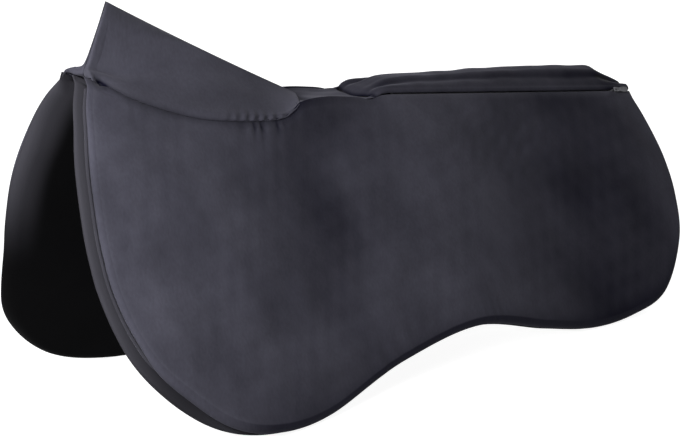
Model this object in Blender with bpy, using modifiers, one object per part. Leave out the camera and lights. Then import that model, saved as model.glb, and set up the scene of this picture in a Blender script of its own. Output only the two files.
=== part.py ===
"""Correction saddle pad: two padded flaps, a withers tent, a spine strip and two zipped shim pockets.

Frame: metres, +X towards the horse's loins, +Z up, the horse's left (near) side at -Y. The pad stands on the
lowest points of its four lobes at z = 0, and the origin is under the middle of its length.
A flap is cut flat, as a pattern of x along the pad, v down the flap from its hinge line and n out of its
face, and is then draped: each cross-section becomes an arc that is flatter at the withers than at the loins.
"""
import math

import bmesh
import bpy
from mathutils import Matrix, Vector

# Overall sizes
LENGTH = 0.618
MIDDLE = 0.303
SIDES = (("left", -1), ("right", 1))

# Drape of a flap: its hinge line and the arc of its cross-section, at the front and the rear
HINGE_X = (0.0207, 0.5993)
HINGE_Z = (0.2614, 0.1774)
HINGE_Y = 0.0225
LEAN = (math.radians(22.4), math.radians(35.7))
CURVATURE = (0.02, 1.53)
SWELL_HEIGHT = 0.0035
SWELL_CREST = 0.080
SWELL_PITCH = 0.260
SWELL_FADE = 0.070

# How far the front of a flap bows out of that arc, as (v, outwards), over the first part of its length
SHOULDER_BOW = ((-0.012, -0.0030), (0.006, 0.0014), (0.030, 0.0054), (0.075, 0.0066), (0.120, 0.0020),
                (0.145, -0.0008), (0.200, 0.0008))
BOW_LENGTH = 0.130

# Flat outline of a flap as (x, v), from its front top corner round the two lobes to its rear top corner
FRONT_EDGE = ((0.0214, -0.0060), (0.0108, 0.018), (0.0001, 0.068), (-0.0020, 0.120), (0.0044, 0.178),
              (0.0208, 0.2195))
BOTTOM_EDGE = ((0.0600, 0.2510), (0.1100, 0.2622), (0.1700, 0.2535), (0.2550, 0.2180), (0.3380, 0.1988),
               (0.4180, 0.2072), (0.4750, 0.2116), (0.5240, 0.2042), (0.5650, 0.1868))
REAR_EDGE = ((0.5985, 0.1410), (0.6100, 0.1010), (0.6122, 0.0660), (0.6098, 0.0280), (0.6060, 0.0060))

# Lower edge of the fixed centre pieces as (x, v): the dipping withers seam, then the zip
CENTRE_EDGE = ((0.010, -0.0130), (0.0225, -0.0100), (0.038, -0.0050), (0.056, 0.0045), (0.080, 0.0128),
               (0.112, 0.0205), (0.146, 0.0268), (0.174, 0.0268), (0.195, 0.0180), (0.214, 0.0095),
               (0.240, 0.0080), (0.268, 0.0084), (0.290, 0.0072), (0.314, 0.0028), (0.345, 0.0022),
               (0.480, 0.0008), (0.590, -0.0004), (0.615, -0.0006))
HINGE_GAP = 0.0042

# Layers of a flap, from its outer face inwards
THICK_TOP = 0.014
THICK_FULL = 0.020
THICK_RAMP = 0.055
FABRIC = 0.0012
DIVIDER = 0.0008
LAYER_GAP = 0.0005
DIVIDER_DEPTH = 0.47
EDGE_ROLL = 0.007
COVER_ROLL_DEPTH = 0.35
LINING_ROLL_DEPTH = 0.375
FRONT_COVER_DEPTH = 0.24
FRONT_FLARE = {"cover": -0.0025, "lining": 0.0040}
FRONT_FADE = ((0.030, 0.095), (0.182, 0.222))
ROLL_ANGLES = (38, 68, 90)
PIPING_INSET = 0.0038
PIPING_RADIUS = 0.0016
FLAP_COLUMNS = 22
FLAP_ROWS = 9

# Shims as (name, first and last share of the flap's length)
SHIMS = (("front", 0.00, 0.335), ("middle", 0.345, 0.655), ("rear", 0.665, 1.00))
SHIM_INSET = 0.014
SHIM_COLUMNS = 7
SHIM_ROWS = 8
SHIM_GAP = 0.0008

# Withers tent
PEAK = (0.0530, 0.3188)
NOTCH = (0.2320, 0.2248)
RIDGE_SAG = 0.0014
TENT_FRONT_X = 0.0225
TENT_REAR_X = 0.214
TENT_THICK = 0.005
TENT_SPLIT = 0.00025
TENT_START = 0.0075
TENT_CROWDING = 1.4
TENT_COLUMNS = 13
TENT_ROWS = 6
PINCH_END = 0.50
PINCH_PULL = 2.2
PINCH_FOOT = (0.66, 0.14, 0.0010)
TENT_LINING_GAP = 0.0017
TENT_LINING_U = (0.16, 0.97)
TENT_LINING_REACH = 0.90
HEM_WIDTH = 0.0070
HEM_GAP = 0.0007
HEM_THICK = 0.0008

# Spine strip: its crest height over the hinge lines as (x, rise)
CREST = ((0.225, -0.0062), (0.267, -0.0048), (0.283, -0.0012), (0.313, 0.0082), (0.381, 0.0116),
         (0.437, 0.0154), (0.511, 0.0188), (0.568, 0.0186), (0.580, 0.0148), (0.602, 0.0060))
STRIP_FRONT_X = 0.2335
STRIP_SWEEP = 0.018
STRIP_REAR_X = 0.600
STRIP_THICK = 0.003
SPINE_GAP = 0.0010
ZIP_START_X = (0.284, 0.312)

# Zip, along a straight line from its front end to its rear end, as (x, v), at a depth behind its slit
ZIP_FRONT = (0.314, 0.0025)
ZIP_REAR = (0.590, -0.0004)
ZIP_DEPTH = 0.0030
CHAIN_HALF = 0.0016
CHAIN_DEPTH = 0.0018
TOOTH_DEPTH = 0.0005
TOOTH_PITCH = 0.005
TAPE_THICK = 0.0006
TAPE_DEPTH = 0.0006
TAPE_GAP = 0.0003
UPPER_TAPE_EDGE = 0.0060
LOWER_TAPE_EDGE = 0.0042
STRIP_TO_ZIP = 0.0076
STOP_LENGTH = 0.0025
SLIDER_LENGTH = 0.0090
SLIDER_HALF = 0.0034
SLIDER_PLATE = 0.0010
SLIDER_BACKSET = 0.0100
BLADE_HALF = 0.0006
BLADE_FOOT = 0.0022
BLADE_HEAD = 0.0016
BLADE_BORE = 0.0009
PIN_HEIGHT = 0.0050
PIN_RADIUS = 0.0005
EAR_RADIUS = 0.0011
EAR_SIDES = (0.0009, 0.0020)
PULL_SLOT = 0.0023
PULL_LENGTH = 0.0170
PULL_HALF = 0.0024

# Finishes as (colour, roughness, metallic)
FINISHES = {
    "cover_fabric": ((0.030, 0.029, 0.037), 0.85, 0.0),
    "lining_fabric": ((0.026, 0.025, 0.031), 0.95, 0.0),
    "piping": ((0.016, 0.016, 0.019), 0.80, 0.0),
    "base_foam": ((0.45, 0.45, 0.43), 0.95, 0.0),
    "shim_foam": ((0.08, 0.16, 0.30), 0.95, 0.0),
    "divider_cloth": ((0.05, 0.05, 0.055), 0.90, 0.0),
    "zip_tape": ((0.014, 0.014, 0.016), 0.90, 0.0),
    "zip_teeth": ((0.020, 0.020, 0.022), 0.40, 0.0),
    "zip_metal": ((0.30, 0.30, 0.31), 0.35, 1.0),
}


def smooth_step(t):
    t = min(max(t, 0.0), 1.0)
    return t * t * (3.0 - 2.0 * t)


def blend(pair, s):
    return pair[0] + (pair[1] - pair[0]) * s


def height_on(points, x):
    """Reads a smooth curve through (x, value) points, with slopes taken from the neighbours."""
    last = len(points) - 1
    i = 0
    while i < last - 1 and x > points[i + 1][0]:
        i += 1

    def slope(k):
        a, b = points[max(k - 1, 0)], points[min(k + 1, last)]
        return (b[1] - a[1]) / (b[0] - a[0])

    (x0, y0), (x1, y1) = points[i], points[i + 1]
    width = x1 - x0
    t = min(max((x - x0) / width, 0.0), 1.0)
    start, end = slope(i) * width, slope(i + 1) * width
    return ((2 * t ** 3 - 3 * t ** 2 + 1) * y0 + (t ** 3 - 2 * t ** 2 + t) * start
            + (3 * t ** 2 - 2 * t ** 3) * y1 + (t ** 3 - t ** 2) * end)


def smooth_path(points, steps=24):
    """Runs a Catmull-Rom curve through flat points and returns it as a dense list of points."""
    ends = [2 * Vector(points[0]) - Vector(points[1])]
    tail = [2 * Vector(points[-1]) - Vector(points[-2])]
    knots = ends + [Vector(p) for p in points] + tail
    path = []
    for k in range(1, len(knots) - 2):
        a, b, c, d = knots[k - 1:k + 3]
        for i in range(steps):
            t = i / steps
            path.append(0.5 * (2 * b + (c - a) * t + (2 * a - 5 * b + 4 * c - d) * t ** 2
                               + (3 * b - a - 3 * c + d) * t ** 3))
    path.append(knots[-2])
    return path


def evenly_spaced(path, count):
    """Returns count + 1 points at equal distances along a dense path."""
    runs = [0.0]
    for a, b in zip(path, path[1:]):
        runs.append(runs[-1] + (b - a).length)
    points, k = [], 0
    for i in range(count + 1):
        target = runs[-1] * i / count
        while k < len(path) - 2 and runs[k + 1] < target:
            k += 1
        span = runs[k + 1] - runs[k]
        points.append(path[k].lerp(path[k + 1], (target - runs[k]) / span if span else 0.0))
    return points


def thickness(v):
    return THICK_TOP + (THICK_FULL - THICK_TOP) * smooth_step(v / THICK_RAMP)


def swell(x, v):
    """The shallow waves of a flap that stands by itself: out at the shoulder, in behind it, out again."""
    wave = math.cos(2 * math.pi * (x - SWELL_CREST) / SWELL_PITCH)
    return SWELL_HEIGHT * wave * smooth_step(v / SWELL_FADE)


def drape(x, v, n, sign):
    """Bends the flat pattern over the horse's back: returns the world place of pattern point x, v, n."""
    s = (x - HINGE_X[0]) / (HINGE_X[1] - HINGE_X[0])
    lean, curvature = blend(LEAN, s), blend(CURVATURE, s)
    angle = lean - curvature * v
    out = n + swell(x, v)
    bow = height_on(SHOULDER_BOW, v) * (1.0 - smooth_step(x / BOW_LENGTH))
    y = HINGE_Y + bow + (math.cos(angle) - math.cos(lean)) / curvature + out * math.cos(angle)
    z = blend(HINGE_Z, s) - (math.sin(lean) - math.sin(angle)) / curvature + out * math.sin(angle)
    return Vector((x - MIDDLE, sign * y, z))


def flap_outline(inset):
    """Front, bottom and rear sides of the flat outline, moved in by inset, as (point, outward) lists."""
    front = smooth_path(FRONT_EDGE + BOTTOM_EDGE + REAR_EDGE)
    corners = (24 * (len(FRONT_EDGE) - 1), 24 * (len(FRONT_EDGE) + len(BOTTOM_EDGE) - 1))
    sides = (front[:corners[0] + 1], front[corners[0]:corners[1] + 1], front[corners[1]:])
    counts = (FLAP_ROWS, FLAP_COLUMNS, FLAP_ROWS)
    result = []
    for path, count in zip(sides, counts):
        points = evenly_spaced(path, count)
        result.append(points)
    chain = result[0] + result[1][1:] + result[2][1:]
    moved = []
    for i, point in enumerate(chain):
        along = (chain[min(i + 1, len(chain) - 1)] - chain[max(i - 1, 0)]).normalized()
        outward = Vector((-along.y, along.x))
        moved.append((point - outward * inset, outward))
    return moved


def pattern_point(u, w, sides, drop):
    """Fills the four sides of a flap's outline evenly: u runs along the flap and w down it."""
    front, bottom, rear = sides
    first, last = front[0].x, rear[0].x
    top_x = first + (last - first) * u
    top = Vector((top_x, height_on(CENTRE_EDGE, top_x) + HINGE_GAP + drop))
    foot = bottom(u)
    left, right = front_at(front, w, drop), front_at(rear, w, drop)
    a, b = front_at(front, 0.0, drop), front_at(rear, 0.0, drop)
    c, d = bottom(0.0), bottom(1.0)
    corners = (1 - u) * (1 - w) * a + u * (1 - w) * b + (1 - u) * w * c + u * w * d
    return (1 - w) * top + w * foot + (1 - u) * left + u * right - corners


def front_at(side, w, drop):
    """Point at share w down a front or rear side, whose top end is put on the flap's top edge."""
    k = min(int(w * (len(side) - 1)), len(side) - 2)
    t = w * (len(side) - 1) - k
    top = Vector((side[0].x, height_on(CENTRE_EDGE, side[0].x) + HINGE_GAP + drop))
    points = [top] + side[1:]
    return points[k].lerp(points[k + 1], t)


def flap_sides(inset):
    """Splits an inset outline into its front, its bottom as a function and its rear, each from the top."""
    chain = [point for point, _ in flap_outline(inset)]
    front = chain[:FLAP_ROWS + 1]
    bottom = chain[FLAP_ROWS:FLAP_ROWS + FLAP_COLUMNS + 1]
    rear = chain[FLAP_ROWS + FLAP_COLUMNS:][::-1]

    def foot(u):
        k = min(int(u * FLAP_COLUMNS), FLAP_COLUMNS - 1)
        return bottom[k].lerp(bottom[k + 1], u * FLAP_COLUMNS - k)

    return front, foot, rear


def pattern_sheet(inset, drop, columns=FLAP_COLUMNS, rows=FLAP_ROWS, span=(0.0, 1.0)):
    """Makes a flat grid over a flap's outline, with x, v in its first two coordinates."""
    sides = flap_sides(inset)
    mesh = bmesh.new()
    bmesh.ops.create_grid(mesh, x_segments=columns, y_segments=rows, size=0.5)
    for vert in mesh.verts:
        u = span[0] + (span[1] - span[0]) * (vert.co.x + 0.5)
        w = 0.5 - vert.co.y
        point = pattern_point(u, w, sides, drop)
        vert.co = (point.x, point.y, 0.0)
    return mesh


def drape_mesh(mesh, sign):
    for vert in mesh.verts:
        vert.co = drape(vert.co.x, vert.co.y, vert.co.z, sign)
    if sign > 0:
        bmesh.ops.reverse_faces(mesh, faces=mesh.faces[:])


def new_object(name, mesh, finish, pivot=None):
    """Turns an edit mesh into an object of the pad's collection, parented to its joint's empty."""
    data = bpy.data.meshes.new(name)
    if pivot:
        bmesh.ops.translate(mesh, verts=mesh.verts[:], vec=-pivot.location)
    mesh.to_mesh(data)
    mesh.free()
    piece = bpy.data.objects.new(name, data)
    pad_collection.objects.link(piece)
    dress(piece, finish, pivot)
    return piece


def dress(piece, finish, pivot=None):
    """Gives a piece its own material and parents it to the empty on its joint's axis."""
    colour, roughness, metallic = FINISHES[finish]
    material = bpy.data.materials.new(piece.name)
    material.use_nodes = True
    shader = material.node_tree.nodes["Principled BSDF"]
    shader.inputs["Base Color"].default_value = (*colour, 1.0)
    shader.inputs["Roughness"].default_value = roughness
    shader.inputs["Metallic"].default_value = metallic
    piece.data.materials.append(material)
    if pivot:
        piece.parent = pivot


def thicken(piece, amount):
    """Solidifies an open shell inwards, away from the side that its faces point to."""
    shell = piece.modifiers.new("thickness", "SOLIDIFY")
    shell.thickness = amount
    shell.offset = -1.0
    shell.use_even_offset = True
    return shell


def front_share(point):
    """1 along the front edge, where the lining's roll stands out past the cover's, 0 from the lobe on."""
    share = 1.0
    for place, (start, end) in zip(point, FRONT_FADE):
        share *= 1.0 - smooth_step((place - start) / (end - start))
    return share


def rest_on_floor(piece):
    """Cuts a piece flat where its lobes stand on the ground."""
    cut = piece.modifiers.new("floor", "BOOLEAN")
    cut.operation = "DIFFERENCE"
    cut.object = floor_cutter


def rolled_shell(name, sign, inner, pivot):
    """A flap's outer cover or its lining: a draped sheet whose edge rolls over towards the other one."""
    sheet = pattern_sheet(EDGE_ROLL, 0.0)
    flare = FRONT_FLARE["lining" if inner else "cover"]
    outline = flap_outline(EDGE_ROLL)

    def roll_at(point):
        depth = LINING_ROLL_DEPTH
        if not inner:
            depth = blend((COVER_ROLL_DEPTH, FRONT_COVER_DEPTH), front_share(point))
        return EDGE_ROLL + flare * front_share(point), depth

    top_of = {0: outline[0][0].x, len(outline) - 1: outline[-1][0].x}
    starts = []
    for i, (point, outward) in enumerate(outline):
        if i in top_of:
            point = Vector((point.x, height_on(CENTRE_EDGE, point.x) + HINGE_GAP))
        starts.append((point, outward))

    def nearest(vert):
        return min(range(len(starts)), key=lambda k: (starts[k][0] - vert.co.xy).length)

    ring = {}
    for vert in sheet.verts:
        if vert.is_boundary:
            k = nearest(vert)
            if (starts[k][0] - vert.co.xy).length < 1e-5:
                ring[vert] = k
    edges = [e for e in sheet.edges if e.is_boundary and e.verts[0] in ring and e.verts[1] in ring
             and abs(ring[e.verts[0]] - ring[e.verts[1]]) == 1]
    steps = [(math.sin(math.radians(a)), 1 - math.cos(math.radians(a))) for a in ROLL_ANGLES]
    steps.append((1 - 0.0009 / EDGE_ROLL, 1.18))
    for out, down in steps:
        made = bmesh.ops.extrude_edge_only(sheet, edges=edges)["geom"]
        verts = [g for g in made if isinstance(g, bmesh.types.BMVert)]
        places = {}
        for vert in verts:
            places[vert] = min(ring.items(), key=lambda item: (item[0].co - vert.co).length)[1]
        for vert, k in places.items():
            point, outward = starts[k]
            roll, depth = roll_at(point)
            place = point + outward * (roll * out)
            vert.co = (place.x, place.y, -depth * thickness(point.y) * down)
        ring = places
        edges = [g for g in made if isinstance(g, bmesh.types.BMEdge)
                 and g.verts[0] in places and g.verts[1] in places]
    if inner:
        for vert in sheet.verts:
            base = min(max(vert.co.y, 0.0), 1.0)
            vert.co.z = -thickness(base) - vert.co.z
    drape_mesh(sheet, sign)
    if inner:
        bmesh.ops.reverse_faces(sheet, faces=sheet.faces[:])
    piece = new_object(name, sheet, "lining_fabric" if inner else "cover_fabric", pivot)
    thicken(piece, FABRIC)
    rest_on_floor(piece)
    piece.data.shade_smooth()
    return piece


def slab(name, sign, finish, inset, drop, depths, pivot, **grid):
    """A closed sheet of foam or cloth between two depths, each a function of v."""
    outer, inner = depths
    sheet = pattern_sheet(inset, drop, **grid)
    made = bmesh.ops.extrude_face_region(sheet, geom=sheet.faces[:])["geom"]
    lower = {g for g in made if isinstance(g, bmesh.types.BMVert)}
    for vert in sheet.verts:
        vert.co.z = -(inner if vert in lower else outer)(vert.co.y)
    drape_mesh(sheet, sign)
    bmesh.ops.recalc_face_normals(sheet, faces=sheet.faces[:])
    return new_object(name, sheet, finish, pivot)


def add_empty(name, place, parent=None):
    empty = bpy.data.objects.new(name, None)
    empty.empty_display_size = 0.02
    empty.location = place
    pad_collection.objects.link(empty)
    if parent:
        empty.parent = parent
    return empty


def build_flap(side, sign):
    """One flap: cover, shims, pocket divider, base foam, lining and the piping in its edge groove."""
    pivot = add_empty(side + "_flap_hinge", Vector((HINGE_X[0] - MIDDLE, sign * HINGE_Y, HINGE_Z[0])))
    rolled_shell(side + "_outer_cover", sign, False, pivot)
    rolled_shell(side + "_lining", sign, True, pivot)

    def divider_top(v):
        return DIVIDER_DEPTH * thickness(v)

    pocket = (lambda v: FABRIC + SHIM_GAP, lambda v: divider_top(v) - SHIM_GAP)
    cloth = (divider_top, lambda v: divider_top(v) + DIVIDER)
    foam = (lambda v: divider_top(v) + DIVIDER + LAYER_GAP, lambda v: thickness(v) - FABRIC - LAYER_GAP)
    inside = EDGE_ROLL - 0.0010
    slab(side + "_pocket_divider", sign, "divider_cloth", inside, 0.0030, cloth, pivot)
    slab(side + "_base_foam", sign, "base_foam", inside, 0.0040, foam, pivot)
    for name, first, last in SHIMS:
        slab(side + "_shim_" + name, sign, "shim_foam", SHIM_INSET, 0.0080, pocket, pivot,
             columns=SHIM_COLUMNS, rows=SHIM_ROWS, span=(first, last))
    build_piping(side, sign, pivot)


def build_piping(side, sign, pivot):
    """The round cord in the groove between the two rolls, from one top corner to the other."""
    groove = []
    for point, outward in flap_outline(0.0):
        place = point - outward * PIPING_INSET
        groove.append((place, thickness(place.y)))
    curve = bpy.data.curves.new(side + "_edge_piping", "CURVE")
    curve.dimensions = "3D"
    curve.bevel_depth = PIPING_RADIUS
    curve.bevel_resolution = 1
    curve.use_fill_caps = True
    spline = curve.splines.new("POLY")
    kept = groove[1:-1]
    spline.points.add(len(kept) - 1)
    for target, (place, thick) in zip(spline.points, kept):
        world = drape(place.x, place.y, -(0.5 - 0.05 * front_share(place)) * thick, sign)
        target.co = (*(world - pivot.location), 1.0)
    piece = bpy.data.objects.new(side + "_edge_piping", curve)
    pad_collection.objects.link(piece)
    dress(piece, "piping", pivot)


# Withers tent

def tent_point(u, w):
    """Point of the left tent panel: u runs from its front edge to its rear, w from the ridge to the seam.

    Towards the front the two panels are pinched into a fin, whose foot flares out to the seam.
    """
    height = blend((PEAK[1], NOTCH[1]), u) - 4 * RIDGE_SAG * u * (1 - u)
    ridge = Vector((blend((PEAK[0], NOTCH[0]), u) - MIDDLE, -1.2 * TENT_SPLIT, height))
    x = blend((TENT_FRONT_X, TENT_REAR_X), u)
    seam = drape(x, height_on(CENTRE_EDGE, x), 0.0, -1)
    pinch = 1.0 - smooth_step(u / PINCH_END)
    foot = Vector((blend((ridge.x, seam.x), PINCH_FOOT[0]), seam.y * PINCH_FOOT[1], seam.z + PINCH_FOOT[2]))
    pull = ridge.lerp(seam, 0.5).lerp(foot, pinch)
    weights = ((1 - w) ** 2, 2 * w * (1 - w) * (1 + PINCH_PULL * pinch), w ** 2)
    return (ridge * weights[0] + pull * weights[1] + seam * weights[2]) / sum(weights)


def tent_normal(u, w):
    """Way out of the left panel, which turns into the flap's own way out at the seam."""
    step = 1e-3
    along = tent_point(u + step, w) - tent_point(u - step, w)
    down = tent_point(u, w + step) - tent_point(u, w - step)
    x = blend((TENT_FRONT_X, TENT_REAR_X), u)
    seam_v = height_on(CENTRE_EDGE, x)
    flap_out = drape(x, seam_v, 1.0, -1) - drape(x, seam_v, 0.0, -1)
    return down.cross(along).normalized().lerp(flap_out, w ** 3).normalized()


def tent_sheet(depths, span_u, span_w):
    """A closed sheet between two depths under the left panel's outer face."""
    mesh = bmesh.new()
    bmesh.ops.create_grid(mesh, x_segments=TENT_COLUMNS, y_segments=TENT_ROWS, size=0.5)
    made = bmesh.ops.extrude_face_region(mesh, geom=mesh.faces[:])["geom"]
    lower = {g for g in made if isinstance(g, bmesh.types.BMVert)}
    for vert in mesh.verts:
        u = blend(span_u, (vert.co.x + 0.5) ** TENT_CROWDING)
        w = blend(span_w, 0.5 - vert.co.y)
        depth = depths[1] if vert in lower else depths[0]
        vert.co = tent_point(u, w) - tent_normal(u, w) * depth
    bmesh.ops.recalc_face_normals(mesh, faces=mesh.faces[:])
    return mesh


def cut_at_middle(mesh, split):
    """Cuts off what lies past y = -split and closes the cut."""
    geom = mesh.verts[:] + mesh.edges[:] + mesh.faces[:]
    result = bmesh.ops.bisect_plane(mesh, geom=geom, dist=1e-7, plane_co=(0, -split, 0),
                                    plane_no=(0, 1, 0), clear_outer=True)
    rim = [g for g in result["geom_cut"] if isinstance(g, bmesh.types.BMEdge)]
    if rim:
        bmesh.ops.holes_fill(mesh, edges=[e for e in mesh.edges if e.is_boundary], sides=0)
    bmesh.ops.recalc_face_normals(mesh, faces=mesh.faces[:])


def mirror_mesh(mesh):
    bmesh.ops.scale(mesh, vec=(1, -1, 1), verts=mesh.verts[:])
    bmesh.ops.reverse_faces(mesh, faces=mesh.faces[:])


def build_tent():
    """Two panels that meet at the ridge, their front hems and the lining under both."""
    for side, sign in SIDES:
        panel = tent_sheet((0.0, TENT_THICK), (TENT_START, 1.0), (0.0, 1.0))
        cut_at_middle(panel, TENT_SPLIT)
        if sign > 0:
            mirror_mesh(panel)
        new_object("withers_panel_" + side, panel, "cover_fabric")
        build_hem(side, sign)
    build_withers_lining()


def build_hem(side, sign):
    """The folded band round the front edge of a tent panel, clear of it on both faces."""
    corners, rows = 6, 6
    mesh = bmesh.new()
    bmesh.ops.create_grid(mesh, x_segments=corners - 1, y_segments=rows, size=0.5)
    made = bmesh.ops.extrude_face_region(mesh, geom=mesh.faces[:])["geom"]
    outer = {g for g in made if isinstance(g, bmesh.types.BMVert)}
    for vert in mesh.verts:
        gap = HEM_GAP + (HEM_THICK if vert in outer else 0.0)
        nick = 0.4 * gap
        profile = ((HEM_WIDTH, -gap), (-nick, -gap), (-gap, -nick), (-gap, TENT_THICK + nick),
                   (-nick, TENT_THICK + gap), (HEM_WIDTH, TENT_THICK + gap))
        setback, depth = profile[round((vert.co.x + 0.5) * (corners - 1))]
        w = blend((0.0, 0.97), 0.5 - vert.co.y)
        span = (tent_point(1.0, w) - tent_point(0.0, w)).length
        u = TENT_START + setback / span
        vert.co = tent_point(u, w) - tent_normal(u, w) * depth
    bmesh.ops.recalc_face_normals(mesh, faces=mesh.faces[:])
    cut_at_middle(mesh, TENT_SPLIT)
    bmesh.ops.triangulate(mesh, faces=mesh.faces[:])
    if sign > 0:
        mirror_mesh(mesh)
    return new_object("withers_hem_" + side, mesh, "cover_fabric")


def lining_point(u, t, depth):
    """Point at a depth under the tent: t runs from the left seam, -1, over the middle to the right one, 1."""
    def under(w):
        return tent_point(u, w) - tent_normal(u, w) * depth

    crossed, reach = 0.0, TENT_LINING_REACH
    for _ in range(24):
        middle = (crossed + reach) / 2
        if under(middle).y > 0.0:
            crossed = middle
        else:
            reach = middle
    point = under(blend((reach, TENT_LINING_REACH), abs(t)))
    point.y = math.copysign(min(point.y, 0.0), t) if t else 0.0
    return point


def build_withers_lining():
    """One cloth under both panels: it follows them down from where their inner faces meet."""
    mesh = bmesh.new()
    bmesh.ops.create_grid(mesh, x_segments=TENT_COLUMNS, y_segments=2 * TENT_ROWS, size=0.5)
    made = bmesh.ops.extrude_face_region(mesh, geom=mesh.faces[:])["geom"]
    lower = {g for g in made if isinstance(g, bmesh.types.BMVert)}
    for vert in mesh.verts:
        depth = TENT_THICK + TENT_LINING_GAP + (FABRIC if vert in lower else 0.0)
        row = round((vert.co.y + 0.5) * 2 * TENT_ROWS) - TENT_ROWS
        vert.co = lining_point(blend(TENT_LINING_U, vert.co.x + 0.5), row / TENT_ROWS, depth)
    bmesh.ops.recalc_face_normals(mesh, faces=mesh.faces[:])
    new_object("withers_lining", mesh, "lining_fabric")


# Spine strip

def strip_edge_v(x):
    """v of the strip's side edge: the centre edge in front of the zip, then just above the zip."""
    share = smooth_step((x - ZIP_START_X[0]) / (ZIP_START_X[1] - ZIP_START_X[0]))
    zip_v = blend((ZIP_FRONT[1], ZIP_REAR[1]), (x - ZIP_FRONT[0]) / (ZIP_REAR[0] - ZIP_FRONT[0]))
    return (1 - share) * height_on(CENTRE_EDGE, x) + share * (zip_v - STRIP_TO_ZIP)


def strip_point(x, t):
    """Point of the strip's outer face: a parabola from one side edge, t = -1, to the other, t = 1."""
    edge = drape(x, strip_edge_v(x), 0.0, 1)
    s = (x - HINGE_X[0]) / (HINGE_X[1] - HINGE_X[0])
    crest = blend(HINGE_Z, s) + height_on(CREST, x)
    return Vector((x - MIDDLE, edge.y * t, edge.z + (crest - edge.z) * (1 - t * t)))


def strip_sheet(columns, rows, reach, ends, depth):
    mesh = bmesh.new()
    bmesh.ops.create_grid(mesh, x_segments=columns, y_segments=rows, size=0.5)
    for vert in mesh.verts:
        t = 2 * vert.co.y * reach
        start = ends[0] - STRIP_SWEEP * abs(t)
        x = blend((start, ends[1]), vert.co.x + 0.5)
        step = 1e-4
        across = strip_point(x, t + step) - strip_point(x, t - step)
        along = strip_point(x + step, t) - strip_point(x - step, t)
        normal = along.cross(across).normalized()
        vert.co = strip_point(x, t) - normal * depth
    return mesh


def build_spine():
    """The arched strip over the spine channel and the lining under it."""
    strip = new_object("spine_strip", strip_sheet(26, 8, 1.0, (STRIP_FRONT_X, STRIP_REAR_X), 0.0),
                       "cover_fabric")
    thicken(strip, STRIP_THICK)
    strip.data.shade_smooth()
    ends = (STRIP_FRONT_X + 0.004, STRIP_REAR_X - 0.004)
    lining = new_object("spine_lining", strip_sheet(26, 6, 0.75, ends, STRIP_THICK + SPINE_GAP),
                        "lining_fabric")
    thicken(lining, FABRIC)
    lining.data.shade_smooth()


# Zips

def zip_frame(sign):
    """Matrix of a zip: X runs to the rear along its straight line, Y across it, Z out of the fabric."""
    start = drape(*ZIP_FRONT, -ZIP_DEPTH, sign)
    end = drape(*ZIP_REAR, -ZIP_DEPTH, sign)
    along = (end - start).normalized()
    middle_x = (ZIP_FRONT[0] + ZIP_REAR[0]) / 2
    middle_v = (ZIP_FRONT[1] + ZIP_REAR[1]) / 2
    out = drape(middle_x, middle_v, 1.0, sign) - drape(middle_x, middle_v, 0.0, sign)
    across = out.cross(along).normalized()
    out = along.cross(across)
    frame = Matrix((along, across, out)).transposed().to_4x4()
    frame.translation = start
    return frame, (end - start).length


def place(piece, frame, finish, pivot=None):
    """Puts a piece that was made in the zip's own axes on the pad."""
    dress(piece, finish)
    if pivot:
        piece.parent = pivot
        frame = Matrix.Translation(-pivot.location) @ frame
        if pivot.parent:
            frame = Matrix.Translation(-pivot.parent.location) @ frame
    piece.matrix_local = frame


def flat_piece(name, outlines, half_thick, plane=None):
    """A flat outline with optional holes, given as lists of points, extruded both ways."""
    curve = bpy.data.curves.new(name, "CURVE")
    curve.dimensions = "2D"
    curve.fill_mode = "BOTH"
    curve.extrude = half_thick
    for outline in outlines:
        spline = curve.splines.new("POLY")
        spline.points.add(len(outline) - 1)
        spline.use_cyclic_u = True
        for target, point in zip(spline.points, outline):
            target.co = (*point, 0.0, 1.0)
    source = bpy.data.objects.new(name + "_outline", curve)
    pad_collection.objects.link(source)
    bpy.context.view_layer.update()
    data = bpy.data.meshes.new_from_object(source.evaluated_get(bpy.context.evaluated_depsgraph_get()))
    bpy.data.objects.remove(source)
    mesh = bmesh.new()
    mesh.from_mesh(data)
    bmesh.ops.remove_doubles(mesh, verts=mesh.verts[:], dist=1e-6)
    if plane:
        bmesh.ops.transform(mesh, matrix=plane, verts=mesh.verts[:])
    bmesh.ops.recalc_face_normals(mesh, faces=mesh.faces[:])
    mesh.to_mesh(data)
    mesh.free()
    data.name = name
    piece = bpy.data.objects.new(name, data)
    pad_collection.objects.link(piece)
    return piece


def box_mesh(low, high):
    mesh = bmesh.new()
    bmesh.ops.create_cube(mesh, size=1.0)
    for vert in mesh.verts:
        vert.co = [low[k] if vert.co[k] < 0 else high[k] for k in range(3)]
    return mesh


def box_piece(name, low, high, bevel=0.0):
    mesh = box_mesh(low, high)
    if bevel:
        bmesh.ops.bevel(mesh, geom=mesh.edges[:], offset=bevel, segments=1, affect="EDGES")
    data = bpy.data.meshes.new(name)
    mesh.to_mesh(data)
    mesh.free()
    piece = bpy.data.objects.new(name, data)
    pad_collection.objects.link(piece)
    return piece


UPRIGHT = Matrix.Rotation(math.radians(90), 4, "X")


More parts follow.
